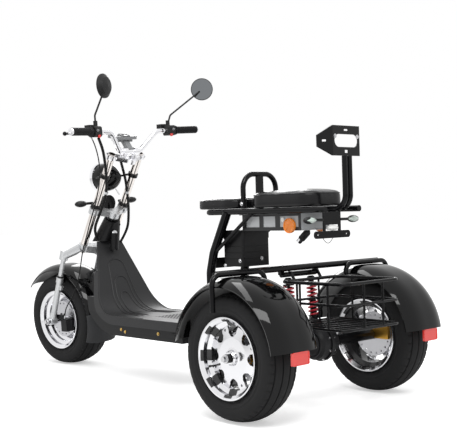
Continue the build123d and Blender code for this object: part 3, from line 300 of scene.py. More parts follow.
def rim_alloy_with_painted_shade(name, centre, axle, face_depth, pockets=0):
    """Polished alloy; the barrel and the pockets between the spokes are coloured black: partly black paint,
    partly painted shade in the recesses.
    """
    lip_radius = 0.131            # the black paint and painted shade stop inside the rim's polished lip
    paint = finish(name, (0.80, 0.80, 0.82), 0.13, metallic=1.0, grain=700, bump=0.05, depth=0.0002,
                   mottle=0.05, spread=0.05)
    tree = paint.node_tree
    shader = tree.nodes["Principled BSDF"]
    where = tree.nodes["Texture Coordinate"].outputs["Object"]
    place = add_node(tree, "ShaderNodeVectorMath", {0: where, 1: centre}, operation="SUBTRACT").outputs[0]
    along = add_node(tree, "ShaderNodeVectorMath", {0: place, 1: axle}, operation="DOT_PRODUCT")
    reach = add_node(tree, "ShaderNodeVectorMath", {0: place}, operation="LENGTH")
    # painted shade: all that lies behind the spokes' face inside the lip is coloured black
    deep = add_node(tree, "ShaderNodeMapRange", {"Value": along.outputs["Value"], "From Min": face_depth,
                                                 "From Max": face_depth - 0.002})
    inside = add_node(tree, "ShaderNodeMapRange", {"Value": reach.outputs["Value"], "From Min": lip_radius,
                                                   "From Max": lip_radius - 0.001})
    black = add_math(tree, "MULTIPLY", deep.outputs[0], inside.outputs[0])
    # painted shade: black pockets on the face, wider than the windows cut in the rim, stand for the dark seen
    # through them
    if pockets:
        split = add_node(tree, "ShaderNodeSeparateXYZ", {0: place}).outputs
        squares = [add_math(tree, "MULTIPLY", split[axis], split[axis]) for axis in ("X", "Z")]
        radius = add_math(tree, "SQRT", add_math(tree, "ADD", *squares))
        off_pocket = add_math(tree, "PINGPONG", add_math(tree, "ARCTAN2", split["X"], split["Z"]),
                              math.pi / pockets)
        root = add_node(tree, "ShaderNodeMapRange", {"Value": radius, "From Min": 0.064, "From Max": 0.086,
                                                     "To Min": -0.004, "To Max": 0.0190},
                        interpolation_type="SMOOTHSTEP")
        mouth = add_node(tree, "ShaderNodeMapRange", {"Value": radius, "From Min": 0.084, "From Max": 0.128,
                                                      "To Min": 0.0180, "To Max": 0.0330})
        half_width = add_math(tree, "MINIMUM", root.outputs[0], mouth.outputs[0])
        in_pocket = add_math(tree, "LESS_THAN", add_math(tree, "MULTIPLY", off_pocket, radius), half_width)
        in_lip = add_math(tree, "LESS_THAN", radius, lip_radius - 0.0005)
        in_rim = add_math(tree, "MULTIPLY", in_pocket, in_lip)
        black = add_math(tree, "MAXIMUM", black, in_rim)
    colour = add_node(tree, "ShaderNodeMix", data_type="RGBA")
    fill(tree, colour, {"A": shader.inputs["Base Color"].links[0].from_socket, "B": (0.02, 0.02, 0.021, 1),
                        "Factor": black})
    fill(tree, shader, {"Base Color": colour.outputs["Result"],
                        "Metallic": add_math(tree, "SUBTRACT", 1.0, black)})
    return paint


ground_steel = finish("ground_steel", (0.56, 0.56, 0.58), 0.3, metallic=1.0, grain=1200, bump=0.1,
                      depth=0.0002)
bright_chrome = finish("bright_chrome", (0.86, 0.86, 0.88), 0.06, metallic=1.0, grain=500, bump=0.02,
                       depth=0.0001, mottle=0.03, spread=0.03)
moulded_black = finish("moulded_black", (0.006, 0.006, 0.0065), 0.5, grain=1400, bump=0.2, depth=0.0003,
                       specular=0.35)
bolt_steel = finish("bolt_steel", (0.62, 0.62, 0.63), 0.24, metallic=1.0, grain=900, bump=0.08, depth=0.0002)
rear_pockets = 8
face_depths = {"front": -0.060, "rear_left": 0.016, "rear_right": 0.016}
for wheel, (centre, axle, half) in wheel_places.items():
    pockets = 0 if wheel == "front" else rear_pockets
    dress(rim_alloy_with_painted_shade(f"{wheel}_alloy", centre, axle, face_depths[wheel], pockets), f"{wheel}_rim")
    bm = bmesh.new()
    stem = toward(centre, axle) @ Matrix.Rotation(math.radians(200), 4, "Z")
    foot = stem @ Vector((0.104, 0, half - 0.052))
    lathe(bm, [(0, 0), (0, 0.006), (0.012, 0.0045), (0.014, 0.003), (0.03, 0.003), (0.031, 0.0042),
               (0.037, 0.0042), (0.038, 0)], 14, toward(foot, axle))
    piece(f"{wheel}_valve", bm, moulded_black, f"{wheel}_wheel")
dress(ground_steel, "front_disc", "rear_left_disc", "rear_right_disc")


def point_tree(name, sizes, instance):
    """A node tree that puts an instance on every point; instance(tree, inputs) says what and how."""
    tree = bpy.data.node_groups.new(name, "GeometryNodeTree")
    face = tree.interface
    face.new_socket("Points", in_out="INPUT", socket_type="NodeSocketGeometry")
    keys = {}
    for label, size in sizes.items():
        socket = face.new_socket(label, in_out="INPUT", socket_type="NodeSocketFloat")
        socket.default_value = size
        keys[label] = socket.identifier
    keys["Paint"] = face.new_socket("Paint", in_out="INPUT", socket_type="NodeSocketMaterial").identifier
    face.new_socket("Geometry", in_out="OUTPUT", socket_type="NodeSocketGeometry")
    given = tree.nodes.new("NodeGroupInput").outputs
    placed = add_node(tree, "GeometryNodeInstanceOnPoints",
                      {"Points": given["Points"], **instance(tree, given)})
    real = add_node(tree, "GeometryNodeRealizeInstances", {0: placed.outputs[0]})
    painted = add_node(tree, "GeometryNodeSetMaterial",
                       {"Geometry": real.outputs[0], "Material": given["Paint"]})
    add_node(tree, "NodeGroupOutput", {0: painted.outputs[0]})
    return tree, keys


def stand_on_points(name, body, tree_and_keys, settings, places, attribute, values):
    """Grow a node tree on points that carry one attribute, and keep the result as a finished mesh."""
    tree, keys = tree_and_keys
    mesh = bpy.data.meshes.new(name)
    mesh.from_pydata([tuple(place) for place in places], [], [])
    is_vector = isinstance(values[0], Vector)
    mark = mesh.attributes.new(attribute, "FLOAT_VECTOR" if is_vector else "FLOAT", "POINT")
    for item, value in zip(mark.data, values):
        setattr(item, "vector" if is_vector else "value", value)
    made = bpy.data.objects.new(name, mesh)
    scene.collection.objects.link(made)
    grow = made.modifiers.new("grow", "NODES")
    grow.node_group = tree
    for label, value in settings.items():
        grow[keys[label]] = value
    solid = bpy.data.meshes.new_from_object(made.evaluated_get(bpy.context.evaluated_depsgraph_get()))
    made.modifiers.remove(grow)
    made.data = solid
    solid.name = name
    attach(made, body)


def bolt_head(tree, given):
    """A hexagon head on a washer, along each point's facing."""
    head = add_node(tree, "GeometryNodeMeshCone", {
        "Vertices": 6, "Radius Bottom": given["Head radius"], "Depth": given["Head height"],
        "Radius Top": add_math(tree, "MULTIPLY", given["Head radius"], 0.88)})
    washer = add_node(tree, "GeometryNodeMeshCylinder", {"Vertices": 20, "Depth": 0.0016,
                                                         "Radius": given["Washer radius"]})
    joined = add_node(tree, "GeometryNodeJoinGeometry", {0: head.outputs["Mesh"]})
    tree.links.new(washer.outputs["Mesh"], joined.inputs[0])
    facing = add_node(tree, "GeometryNodeInputNamedAttribute", data_type="FLOAT_VECTOR")
    facing.inputs["Name"].default_value = "facing"
    aim = add_node(tree, "FunctionNodeAlignRotationToVector", {"Vector": facing.outputs["Attribute"]},
                   axis="Z")
    return {"Instance": joined.outputs[0], "Rotation": aim.outputs[0]}


bolt_tree = point_tree("bolt_heads", {"Head radius": 0.006, "Head height": 0.004, "Washer radius": 0.008},
                       bolt_head)


def bolts(name, body, spots, radius, paint=bolt_steel, height=None):
    """Bolt heads at (place, facing) spots, all on one body."""
    sizes = {"Head radius": radius, "Head height": height or radius * 0.7, "Washer radius": radius * 1.35,
             "Paint": paint}
    stand_on_points(name, body, bolt_tree, sizes, [place for place, _ in spots], "facing",
                    [Vector(direction).normalized() for _, direction in spots])


for wheel, (centre, axle, half) in wheel_places.items():
    turn = toward(centre, axle)
    if wheel != "front":
        out = 0.036
        spots = [(turn @ Vector((0.021 * math.cos(a), 0.021 * math.sin(a), out + 0.0135)), axle)
                 for a in [math.radians(72 * i + 10) for i in range(5)]]
        bolts(f"{wheel}_hub_bolts", f"{wheel}_wheel", spots, 0.0032)
    disc_side = 0.045 if wheel == "front" else -0.011
    spots = [(turn @ Vector((0.024 * math.cos(a), 0.024 * math.sin(a), disc_side)), axle)
             for a in [math.radians(60 * i) for i in range(6)]]
    bolts(f"{wheel}_disc_bolts", f"{wheel}_wheel", spots, 0.004, moulded_black)

# ---------------------------------------------------------------- axle, motor, brakes and swing arm
# Black cast gear housing with bolted covers on a painted axle tube, gold anodised calipers and two
# tubular arms. Socket screws clamp the covers; nuts close the axle's ends.
cast_black = finish("cast_black", (0.008, 0.008, 0.009), 0.42, grain=420, bump=0.5, depth=0.0008, spread=0.12,
                    specular=0.22)
powder_black = finish("powder_black", (0.004, 0.004, 0.0045), 0.24, grain=1600, bump=0.12, depth=0.0002,
                      spread=0.06, specular=0.2)
gold_anodised = finish("gold_anodised", (0.62, 0.34, 0.06), 0.3, metallic=1.0, grain=800, bump=0.2,
                       depth=0.0003)
dress(cast_black, "drive_motor")
dress(powder_black, "rear_axle", "swing_arm", "rear_subframe")
dress(gold_anodised, "rear_calipers")
motor_x, motor_z = -0.760, 0.217
flange_circle, cover_circle = 0.060, 0.040     # radii of the screw circles
spots = []
for i in range(8):
    angle = math.radians(45 * i + 22)
    x, z = motor_x + flange_circle * math.cos(angle), motor_z + flange_circle * math.sin(angle)
    spots += [((x, -0.0515, z), (0, -1, 0)), ((x, -0.0285, z), (0, 1, 0))]
for i in range(6):
    angle = math.radians(60 * i + 5)
    x, z = motor_x + cover_circle * math.cos(angle), motor_z + cover_circle * math.sin(angle)
    spots.append(((x, -0.0925, z), (0, -1, 0)))
bolts("motor_screws", "chassis", spots, 0.0042)
bolts("axle_nuts", "chassis", [((motor_x, side * 0.4255, motor_z), (0, side, 0)) for side in (1, -1)], 0.011,
      height=0.012)
bolts("rear_caliper_screws", "chassis",
      [((-0.822 + dx, side * 0.3595, 0.233 + dz), (0, side, 0)) for side in (1, -1)
       for dx, dz in ((0, 0.016), (0.016, -0.018))], 0.0045)

# ---------------------------------------------------------------- rear shocks
# Two coil-over shocks lean from the axle to the cross rod: red powder-coated springs wound from round
# wire, over a chromed rod and a black damper body with rubber-bushed eyes.


def sweep_tube(bm, points, radius, sides=10, closed=False):
    """A round tube along points, its sections carried without twist; radius may be one per point."""
    points = [Vector(p) for p in points]
    count = len(points)
    radii = radius if isinstance(radius, (list, tuple)) else [radius] * count
    across = None
    rings = []
    for i, point in enumerate(points):
        ahead = points[(i + 1) % count] if closed or i < count - 1 else point
        behind = points[i - 1] if closed or i > 0 else point
        along = (ahead - behind).normalized()
        if across is None:
            across = along.orthogonal().normalized()
        across = (across - along * across.dot(along)).normalized()
        other = along.cross(across)
        rings.append([bm.verts.new(point + (across * math.cos(a) + other * math.sin(a)) * radii[i])
                      for a in [2 * math.pi * k / sides for k in range(sides)]])
    for a, b in list(zip(rings, rings[1:])) + ([(rings[-1], rings[0])] if closed else []):
        for k in range(sides):
            j = (k + 1) % sides
            bm.faces.new((a[k], a[j], b[j], b[k]))
    if not closed:
        bm.faces.new(list(reversed(rings[0])))
        bm.faces.new(rings[-1])


red_coat = finish("red_coat", (0.50, 0.012, 0.028), 0.3, grain=900, bump=0.15, depth=0.0002, coat=0.5)
shock_half_gap = 0.060
shock_feet = [(Vector((-0.716, y, 0.287)), Vector((-0.704, y, 0.458))) for y in (shock_half_gap,
                                                                                 -shock_half_gap)]
coil_radius = 0.0168
coil_wire = 0.0036
coil_turns = 8
springs, dampers = bmesh.new(), bmesh.new()
for foot, top in shock_feet:
    turn = toward(foot, top - foot)
    long = (top - foot).length
    steps = coil_turns * 20
    coil = []
    for i in range(steps + 1):
        t = i / steps
        angle = 2 * math.pi * coil_turns * t
        along = long * (0.17 + 0.66 * t)
        coil.append(turn @ Vector((coil_radius * math.cos(angle), coil_radius * math.sin(angle), along)))
    sweep_tube(springs, coil, coil_wire, 8)
    lathe(dampers, [(0.012, 0), (0.012, 0.009), (long * 0.13, 0.009), (long * 0.13, 0.020),
                    (long * 0.16, 0.0205),
                    (long * 0.165, 0.012), (long * 0.52, 0.012), (long * 0.53, 0.0055), (long * 0.83, 0.0055),
                    (long * 0.835, 0.0205), (long * 0.865, 0.020), (long * 0.87, 0.010),
                    (long - 0.012, 0.010),
                    (long - 0.012, 0)], 24, turn)
    for end in (foot + (top - foot).normalized() * 0.010, top - (top - foot).normalized() * 0.010):
        lathe(dampers, [(-0.012, 0), (-0.012, 0.009), (-0.010, 0.0105), (0.010, 0.0105), (0.012, 0.009),
                        (0.012, 0)], 20, toward(end, (0, 1, 0)))
piece("shock_springs", springs, red_coat, "chassis", ("rear_shocks",))
piece("shock_dampers", dampers, powder_black, "chassis")

# ---------------------------------------------------------------- front fork
# Plated stanchions in a plated top clamp, a satin cast lower clamp and leg bridge, and satin sliders
# with black dust seals. Pinch screws close the clamps on the tubes.
warm_chrome = finish("warm_chrome", (0.87, 0.82, 0.78), 0.09, metallic=1.0, grain=420, bump=0.03,
                     depth=0.0001,
                     mottle=0.05, spread=0.04)
satin_silver = finish("satin_silver", (0.62, 0.63, 0.64), 0.3, metallic=0.75, grain=520, bump=0.25,
                      depth=0.0003,
                      mottle=0.06, spread=0.08)
dress(warm_chrome, "fork_tubes")
dress(bright_chrome, "top_clamp", "front_axle", "handlebar", "headlight_ring")
dress(satin_silver, "lower_clamp", "fork_bridge", "fork_sliders")
dress(cast_black, "front_caliper")
head_point = Vector((0.454, 0, 0.683))
head_up = Vector((-0.52101, 0, 0.853551))
parked_turn = math.radians(6)
steer_turn = (Matrix.Translation(head_point) @ Matrix.Rotation(parked_turn, 4, head_up)
              @ Matrix.Translation(-head_point))


def fork_spot(along, ahead, left):
    """A place on the fork as parked: up the steering axis, ahead of it and to the left, in metres."""
    straight = head_point + head_up * along + Vector((0.853551, 0, 0.52101)) * ahead + Vector((0, left, 0))
    return steer_turn @ straight


def meeting(names, start, aim):
    """Where a line from start towards aim first meets these CAD nodes, with the surface's normal."""
    best = None
    for name in names:
        way = (Vector(aim) - Vector(start)).normalized()
        hit, normal, _, gap = surface_of(nodes[name].data).ray_cast(Vector(start), way)
        if hit is not None and (best is None or gap < best[2]):
            best = (hit, normal, gap)
    return best


spots = []
for side in (1, -1):
    for along, ahead in ((0.031, 0.0), (0.305, 0.0)):
        centre = fork_spot(along, 0.040, side * 0.082)
        for turn_out in (-0.4, 0.9):
            out = fork_spot(along, 0.040 - 0.1, side * (0.082 + 0.1 * turn_out))
            met = meeting(("lower_clamp", "top_clamp"), out, centre)
            if met:
                spots.append((met[0], out - centre))
    met = meeting(("lower_clamp",), fork_spot(0.018, -0.12, side * 0.030), fork_spot(0.018, 0, side * 0.030))
    if met:
        spots.append(met[:2])
bolts("clamp_screws", "steering", spots, 0.0048)
leg_down = (Vector((0.811, 0.0065, 0.2168)) - steer_turn @ Vector((0.687, 0, 0.520))).normalized()
seals = bmesh.new()
bridge_spots = []
for side in (1, -1):
    leg_top = steer_turn @ Vector((0.687, side * 0.107, 0.520))
    seal_at = leg_top + leg_down * 0.0985
    lathe(seals, [(-0.004, 0.0116), (-0.004, 0.0135), (0.0, 0.0165), (0.006, 0.0170), (0.006, 0.0116)], 28,
          toward(seal_at, leg_down), ring=True)
    for lift in (-0.018, 0.012):
        out = leg_top + Vector((-0.2, side * 0.05, 0)) - leg_down * lift
        met = meeting(("fork_bridge",), out, leg_top - leg_down * lift)
        if met:
            bridge_spots.append((met[0], met[1]))
piece("fork_seals", seals, moulded_black, "steering")
bolts("bridge_screws", "steering", bridge_spots, 0.0045, satin_silver)
axle_left = steer_turn @ Vector((0.811, 0.139, 0.217))
axle_right = steer_turn @ Vector((0.811, -0.139, 0.217))
axle_way = (axle_left - axle_right).normalized()
bolts("front_axle_nuts", "steering", [(axle_left, axle_way), (axle_right, -axle_way)], 0.010, height=0.010)

# ---------------------------------------------------------------- fenders and mud flap
# Deep fenders pressed from sheet and lacquered gloss black, the front one between the fork legs with a moulded
# rubber flap.
lacquer_black = finish("lacquer_black", (0.0022, 0.0022, 0.0024), 0.06, grain=260, bump=0.012, depth=0.0004,
                       mottle=0.2, spread=0.02, cloud=5, specular=0.26)
flap_rubber = finish("flap_rubber", (0.045, 0.046, 0.048), 0.62, grain=700, bump=0.35, depth=0.0006,
                     specular=0.2)
dress(lacquer_black, "front_fender", "rear_fenders")
dress(flap_rubber, "front_mud_flap")

# ---------------------------------------------------------------- handlebar, grips and switches
# Plated bent tube with ribbed soft grips, turned end caps, moulded switch housings with red buttons,
# black ball-ended levers and a grey instrument on a bracket.
soft_rubber = finish("soft_rubber", (0.008, 0.008, 0.009), 0.5, grain=1500, bump=0.3, depth=0.0004,
                     specular=0.2)
# painted reflection: the mirror glass is a dark metal, standing for the dark surroundings it reflects instead
# of the white studio
mirror_painted_dark_reflection = finish("mirror_painted_dark_reflection", (0.20, 0.21, 0.22), 0.015, metallic=1.0, grain=90, bump=0.004,
                       depth=0.0001, mottle=0.01, spread=0.005)
meter_grey = finish("meter_grey", (0.20, 0.205, 0.21), 0.32, grain=1300, bump=0.18, depth=0.0002, spread=0.08)
red_button = finish("red_button", (0.62, 0.015, 0.012), 0.3, grain=700, bump=0.1, depth=0.0002)
dress(moulded_black, "switch_housings", "mirrors", "front_turn_signals")
dress(powder_black, "brake_levers", "horn")
dress(mirror_painted_dark_reflection, "mirror_glasses")
dress(meter_grey, "speedometer")
sweep_back = math.tan(math.radians(10))


def bar_spot(y, up=0.0, back=0.0):
    """A place on the parked bar's straight end; y is to the left, up and back are off its axis."""
    return steer_turn @ Vector((0.260 - (abs(y) - 0.240) * sweep_back - back, y, 1.068 + up))


rubber, caps = bmesh.new(), bmesh.new()
grip_long = 0.120
for side in (1, -1):
    inner = bar_spot(side * 0.247)
    way = (bar_spot(side * 0.365) - inner).normalized()
    outline = [(0, 0.0113), (0, 0.0205), (0.005, 0.0205), (0.007, 0.0168)]
    for k in range(21):
        at = 0.010 + k * 0.0050
        outline += [(at, 0.0150), (at + 0.0008, 0.0165), (at + 0.0036, 0.0165), (at + 0.0044, 0.0150)]
    outline += [(grip_long - 0.003, 0.0165), (grip_long, 0.0150), (grip_long, 0.0113)]
    lathe(rubber, outline, 36, toward(inner, way), ring=True)
    lathe(caps, [(grip_long - 0.001, 0), (grip_long - 0.001, 0.0152), (grip_long + 0.003, 0.0156),
                 (grip_long + 0.005, 0.0140), (grip_long + 0.0055, 0.006), (grip_long + 0.004, 0.005),
                 (grip_long + 0.004, 0)], 32, toward(inner, way))
piece("ribbed_grips", rubber, soft_rubber, "steering", ("grips",))
piece("grip_caps", caps, bright_chrome, "steering")
buttons, levers = bmesh.new(), bmesh.new()
for side in (1, -1):
    for y, back, up, big in ((0.212, 0.020, -0.026, 0.0062), (0.222, 0.024, 0.004, 0.0045)):
        place = bar_spot(side * y, up, back)
        down = Vector((-0.25, 0, -1)) if up < -0.02 else Vector((-1, 0, 0.1))
        out = place + down.normalized() * 0.08
        met = meeting(("switch_housings",), out, place - down.normalized() * 0.02)
        if met is None:
            continue
        target = buttons if up < -0.02 else levers
        lathe(target, [(-0.002, 0), (-0.002, big + 0.0015), (0.002, big + 0.0015), (0.0022, big),
                       (0.006, big),
                       (0.0078, big * 0.75), (0.0085, 0)], 24, toward(met[0], down))
piece("red_buttons", buttons, red_button, "steering")
piece("switch_knobs", levers, meter_grey, "steering")
met = meeting(("speedometer",), (0.33, 0.01, 1.3), (0.33, 0.01, 0.9))
dial, marks = bmesh.new(), bmesh.new()
dial_place = toward(met[0], met[1])
lathe(dial, [(-0.001, 0), (-0.001, 0.0295), (0.0028, 0.0295), (0.0034, 0.0275), (0.0012, 0.0262),
             (0.0012, 0)], 48,
      dial_place)
for i in range(25):
    angle = math.radians(-30 + 240 * i / 24)
    short = 0.0205 if i % 4 else 0.0180
    ends = [dial_place @ Vector((r * math.cos(angle), r * math.sin(angle), 0.0014)) for r in (short, 0.0240)]
    sweep_tube(marks, ends, 0.00045, 4)
pointer = [dial_place @ Vector((0, 0, 0.0020)), dial_place @ Vector((-0.016, 0.006, 0.0020))]
sweep_tube(marks, pointer, [0.0008, 0.0003], 6)
piece("speedometer_dial", dial, lacquer_black, "steering")
piece("dial_marks", marks, satin_silver, "steering")

# ---------------------------------------------------------------- lamps
# A gloss black headlight shell with a plated rim and clear glass, a small wire bail under it, and
# turn signals on black stalks: amber prismatic lenses in front, clear and faintly green behind.
lamp_glass = bpy.data.materials.new("lamp_glass")
lamp_glass.use_nodes = True
tree = lamp_glass.node_tree
where = add_node(tree, "ShaderNodeTexCoord").outputs["Object"]
flutes = add_node(tree, "ShaderNodeTexWave", {"Vector": where, "Scale": 60}, bands_direction="Y")
relief = add_node(tree, "ShaderNodeBump", {"Height": flutes.outputs["Fac"], "Strength": 0.3,
                                           "Distance": 0.001})
fill(tree, tree.nodes["Principled BSDF"], {"Base Color": (0.93, 0.96, 0.96, 1), "Transmission Weight": 1.0,
                                           "Roughness": 0.03, "Normal": relief.outputs["Normal"]})
dress(lacquer_black, "headlight")
dress(lamp_glass, "headlight_lens")


def prism_with_painted_facet_shade(name, colour, rough=0.12, pitch=420.0):
    """Moulded lens plastic: small cube-corner cells show as facets in the relief, and painted facet shade
    darkens the colour towards each cell's edge.
    """
    paint = finish(name, colour, rough, grain=900, bump=0.05, depth=0.0002, spread=0.04, coat=0.6)
    tree = paint.node_tree
    shader = tree.nodes["Principled BSDF"]
    where = tree.nodes["Texture Coordinate"].outputs["Object"]
    cells = add_node(tree, "ShaderNodeTexVoronoi", {"Vector": where, "Scale": pitch, "Randomness": 0.15},
                     distance="CHEBYCHEV").outputs["Distance"]
    facets = add_node(tree, "ShaderNodeBump", {"Height": cells, "Strength": 0.6, "Distance": 0.0012})
    # painted shade: the colour is darkened by the cell pattern, standing for the facets' shading
    shade = add_node(tree, "ShaderNodeMix", data_type="RGBA", blend_type="MULTIPLY")
    fill(tree, shade, {"A": shader.inputs["Base Color"].links[0].from_socket, "B": (0.62, 0.62, 0.62, 1),
                       "Factor": cells})
    fill(tree, shader, {"Normal": facets.outputs["Normal"], "Base Color": shade.outputs["Result"]})
    return paint


clear_prism = prism_with_painted_facet_shade("clear_prism", (0.62, 0.72, 0.66), 0.1)
amber_prism = prism_with_painted_facet_shade("amber_prism", (0.62, 0.27, 0.05), 0.12)
lamp_low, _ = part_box("headlight")
bail = bmesh.new()
bail_top = Vector((0.395, 0.006, lamp_low.z + 0.010))
loop = []
for i in range(25):
    angle = math.radians(-70 + 320 * i / 24)
    loop.append(bail_top + Vector((0.004 * math.cos(angle), 0.009 * math.cos(angle - 1.57), -0.015
                                   + 0.013 * math.sin(angle))))
sweep_tube(bail, loop, 0.0011, 6)
piece("headlight_bail", bail, bolt_steel, "steering")


def leaf(bm, centre, way, long, wide, facing, thick):
    """A pointed leaf-shaped lens shell, longest along way, domed towards facing."""
    turn = toward(centre, facing, spin=way)
    rings = 7
    previous = [bm.verts.new(turn @ Vector((0, 0, thick)))] * 32
    for r in range(1, rings + 1):
        t = r / rings
        row = []
        for k in range(32):
            a = 2 * math.pi * k / 32
            x = math.sin(a) * wide * (1 - 0.45 * abs(math.cos(a)) ** 1.5)
            y = math.cos(a) * long
            row.append(bm.verts.new(turn @ Vector((x * t, y * t, thick * math.sqrt(max(1 - t * t, 0))))))
        for k in range(32):
            j = (k + 1) % 32
            corners = list(dict.fromkeys((previous[k], previous[j], row[j], row[k])))
            if len(corners) > 2:
                bm.faces.new(corners)
        previous = row
    bm.faces.new(list(reversed(previous)))


rear_lenses, front_lenses = bmesh.new(), bmesh.new()
for side in (1, -1):
    low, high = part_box("rear_turn_signals")
    centre = Vector(((low.x + high.x) / 2 - 0.0035, side * (high.y - 0.030), (low.z + high.z) / 2))
    leaf(rear_lenses, centre, (0, 1, 0), 0.027, 0.0118, (-1, 0, 0), 0.0125)
    bulb = fork_spot(0.054, 0.0665, side * 0.148)
    leaf(front_lenses, bulb, (0, 1, 0), 0.024, 0.0110, (0.85, 0, 0.2), 0.0235)
piece("rear_signal_lenses", rear_lenses, clear_prism, "chassis")
piece("front_signal_lenses", front_lenses, amber_prism, "steering")

# ---------------------------------------------------------------- footboard, battery housing and neck cover
# Injection-moulded charcoal plastic. The leg shield carries three nested raised arches that run down on to the
# deck, with a chequered tread patch. Brass screws hold the trim and a lock sits in the neck cover.
charcoal = finish("charcoal", (0.020, 0.020, 0.021), 0.4, grain=1900, bump=0.4, depth=0.0004, mottle=0.1,
                  spread=0.08, cloud=6, specular=0.28)
housing_black = finish("housing_black", (0.006, 0.006, 0.0065), 0.34, grain=1500, bump=0.3, depth=0.0003,
                       spread=0.08, specular=0.22)
brass = finish("brass", (0.62, 0.44, 0.16), 0.28, metallic=1.0, grain=700, bump=0.1, depth=0.0002)
dress(charcoal, "footboard")
dress(housing_black, "battery_box", "neck_cover", "controller_case")
board = surface_of(nodes["footboard"].data)
fan_centre_x, fan_centre_z = 0.02, 0.60


def on_board(y, drop):
    """The board's upper surface at y, seen from a line above the deck; drop is degrees below level."""
    angle = math.radians(drop)
    hit, normal, _, _ = board.ray_cast(Vector((fan_centre_x, y, fan_centre_z)),
                                       Vector((math.cos(angle), 0, -math.sin(angle))))
    return hit, normal


ribs = bmesh.new()
for top_drop, top_half, foot_half in ((13, 0.043, 0.112), (24, 0.036, 0.088), (34, 0.026, 0.062)):
    foot_drop = 74
    trail = []
    for i in range(41):
        t = i / 40
        drop = foot_drop + (top_drop + 5 - foot_drop) * t
        trail.append((foot_half + (top_half - foot_half) * t ** 0.8, drop))
    crown = [(top_half * math.cos(math.radians(a)), top_drop + 5 - 5 * math.sin(math.radians(a)))
             for a in range(6, 91, 7)]
    half_line = trail + crown
    line = half_line + [(-y, drop) for y, drop in reversed(half_line[:-1])]
    path, widths = [], []
    for i, (y, drop) in enumerate(line):
        hit, normal = on_board(y, drop)
        if hit is None:
            continue
        path.append(hit - normal * 0.0006)
        widths.append(0.0034 * min(1, (min(i, len(line) - 1 - i) + 1) / 5))
    sweep_tube(ribs, path, widths, 8)
for side in (1, -1):
    path = []
    for i in range(71):
        drop = 8 + (87 - 8) * i / 70
        found = None
        for step in range(60):
            y = 0.162 - step * 0.002
            hit, normal = on_board(side * y, drop)
            if hit is not None and normal.dot(Vector((math.cos(math.radians(drop)), 0,
                                                      -math.sin(math.radians(drop))))) < -0.5:
                found = hit - normal * 0.0012 + Vector((0, -side * 0.004, 0))
                break
        if found:
            path.append(found)
    if len(path) > 8:
        sweep_tube(ribs, path, 0.0032, 8)
piece("board_ribs", ribs, charcoal, "chassis")


def lozenge(tree, given):
    """A low domed lozenge, turned about the vertical by each point's own angle."""
    ball = add_node(tree, "GeometryNodeMeshIcoSphere", {"Radius": 1.0, "Subdivisions": 2})
    size = add_node(tree, "ShaderNodeCombineXYZ", {
        "X": given["Lozenge length"], "Y": add_math(tree, "MULTIPLY", given["Lozenge length"], 0.3),
        "Z": given["Lozenge height"]})
    turned = add_node(tree, "GeometryNodeInputNamedAttribute", {"Name": "turned"})
    spin = add_node(tree, "ShaderNodeCombineXYZ", {"Z": turned.outputs["Attribute"]})
    return {"Instance": ball.outputs["Mesh"], "Scale": size.outputs[0], "Rotation": spin.outputs[0]}


tread_pitch = 0.0095
places, turns = [], []
for row in range(22):
    for column in range(17):
        x, y = -0.150 + row * tread_pitch, -0.076 + column * tread_pitch
        hit, normal, _, _ = board.ray_cast(Vector((x, y, 0.5)), Vector((0, 0, -1)))
        if hit is not None:
            places.append(tuple(hit))
            turns.append(math.radians(45 if (row + column) % 2 else -45))
tread_tree = point_tree("tread", {"Lozenge length": 0.0, "Lozenge height": 0.0}, lozenge)
stand_on_points("board_tread", "chassis", tread_tree,
                {"Lozenge length": 0.0043, "Lozenge height": 0.0010, "Paint": charcoal}, places, "turned",
                turns)
spots = []
for side in (1, -1):
    for x, z in ((0.190, 0.218), (0.162, 0.210), (-0.062, 0.218)):
        met = meeting(("battery_box", "footboard"), (x, side * 0.4, z), (x, 0, z))
        if met:
            spots.append((met[0], (0, side, 0)))
bolts("trim_screws", "chassis", spots, 0.0052, brass)
lock = bmesh.new()
met = meeting(("neck_cover",), (0.30, 0, 0.66), (0.433, 0, 0.621))
lock_place = toward(met[0], Vector((0.30, 0, 0.66)) - Vector((0.433, 0, 0.621)))
lathe(lock, [(-0.002, 0), (-0.002, 0.0135), (0.0016, 0.0135), (0.0026, 0.0122), (0.0020, 0.0085),
             (0.0030, 0.0080),
             (0.0030, 0.0026), (0.0008, 0.0022), (0.0008, 0)], 40, lock_place)
piece("ignition_lock", lock, satin_silver, "chassis")
spots = []
for y, z in ((0.0, 0.543), (0.026, 0.655), (-0.026, 0.655)):
    met = meeting(("footboard", "neck_cover"), (0.30, y, z + 0.02), (0.45, y, z))
    if met:
        spots.append((met[0], met[1]))
bolts("cover_screws", "chassis", spots, 0.0040, powder_black)

# ---------------------------------------------------------------- frame, posts and rails
# Bent and welded steel tube in gloss black powder coat. The grab hoop's flattened ends are bolted to
# the seat rails, and the case plate is bolted to the posts' cross member.
frame_black = finish("frame_black", (0.003, 0.003, 0.0035), 0.14, grain=1500, bump=0.10, depth=0.0002,
                     spread=0.05, specular=0.2)
dress(frame_black, "main_frame", "seat_posts", "seat_rails", "seat_hoop", "backrest_posts", "fender_rails",
      "tail_bracket", "rear_subframe")
dress(lacquer_black, "backrest_plate")
spots = []
for side in (1, -1):
    met = meeting(("seat_hoop",), (-0.511, side * 0.3, 0.730), (-0.511, 0, 0.730))
    if met:
        spots.append((met[0], (0, side, 0)))
for y, z in ((0.186, 0.504), (0.112, 0.517), (-0.026, 0.520)):
    met = meeting(("seat_posts", "controller_case", "rear_subframe"), (-0.9, y, z), (-0.3, y, z))
    if met and met[0].x < -0.42:
        spots.append((met[0], (-1, 0, 0)))
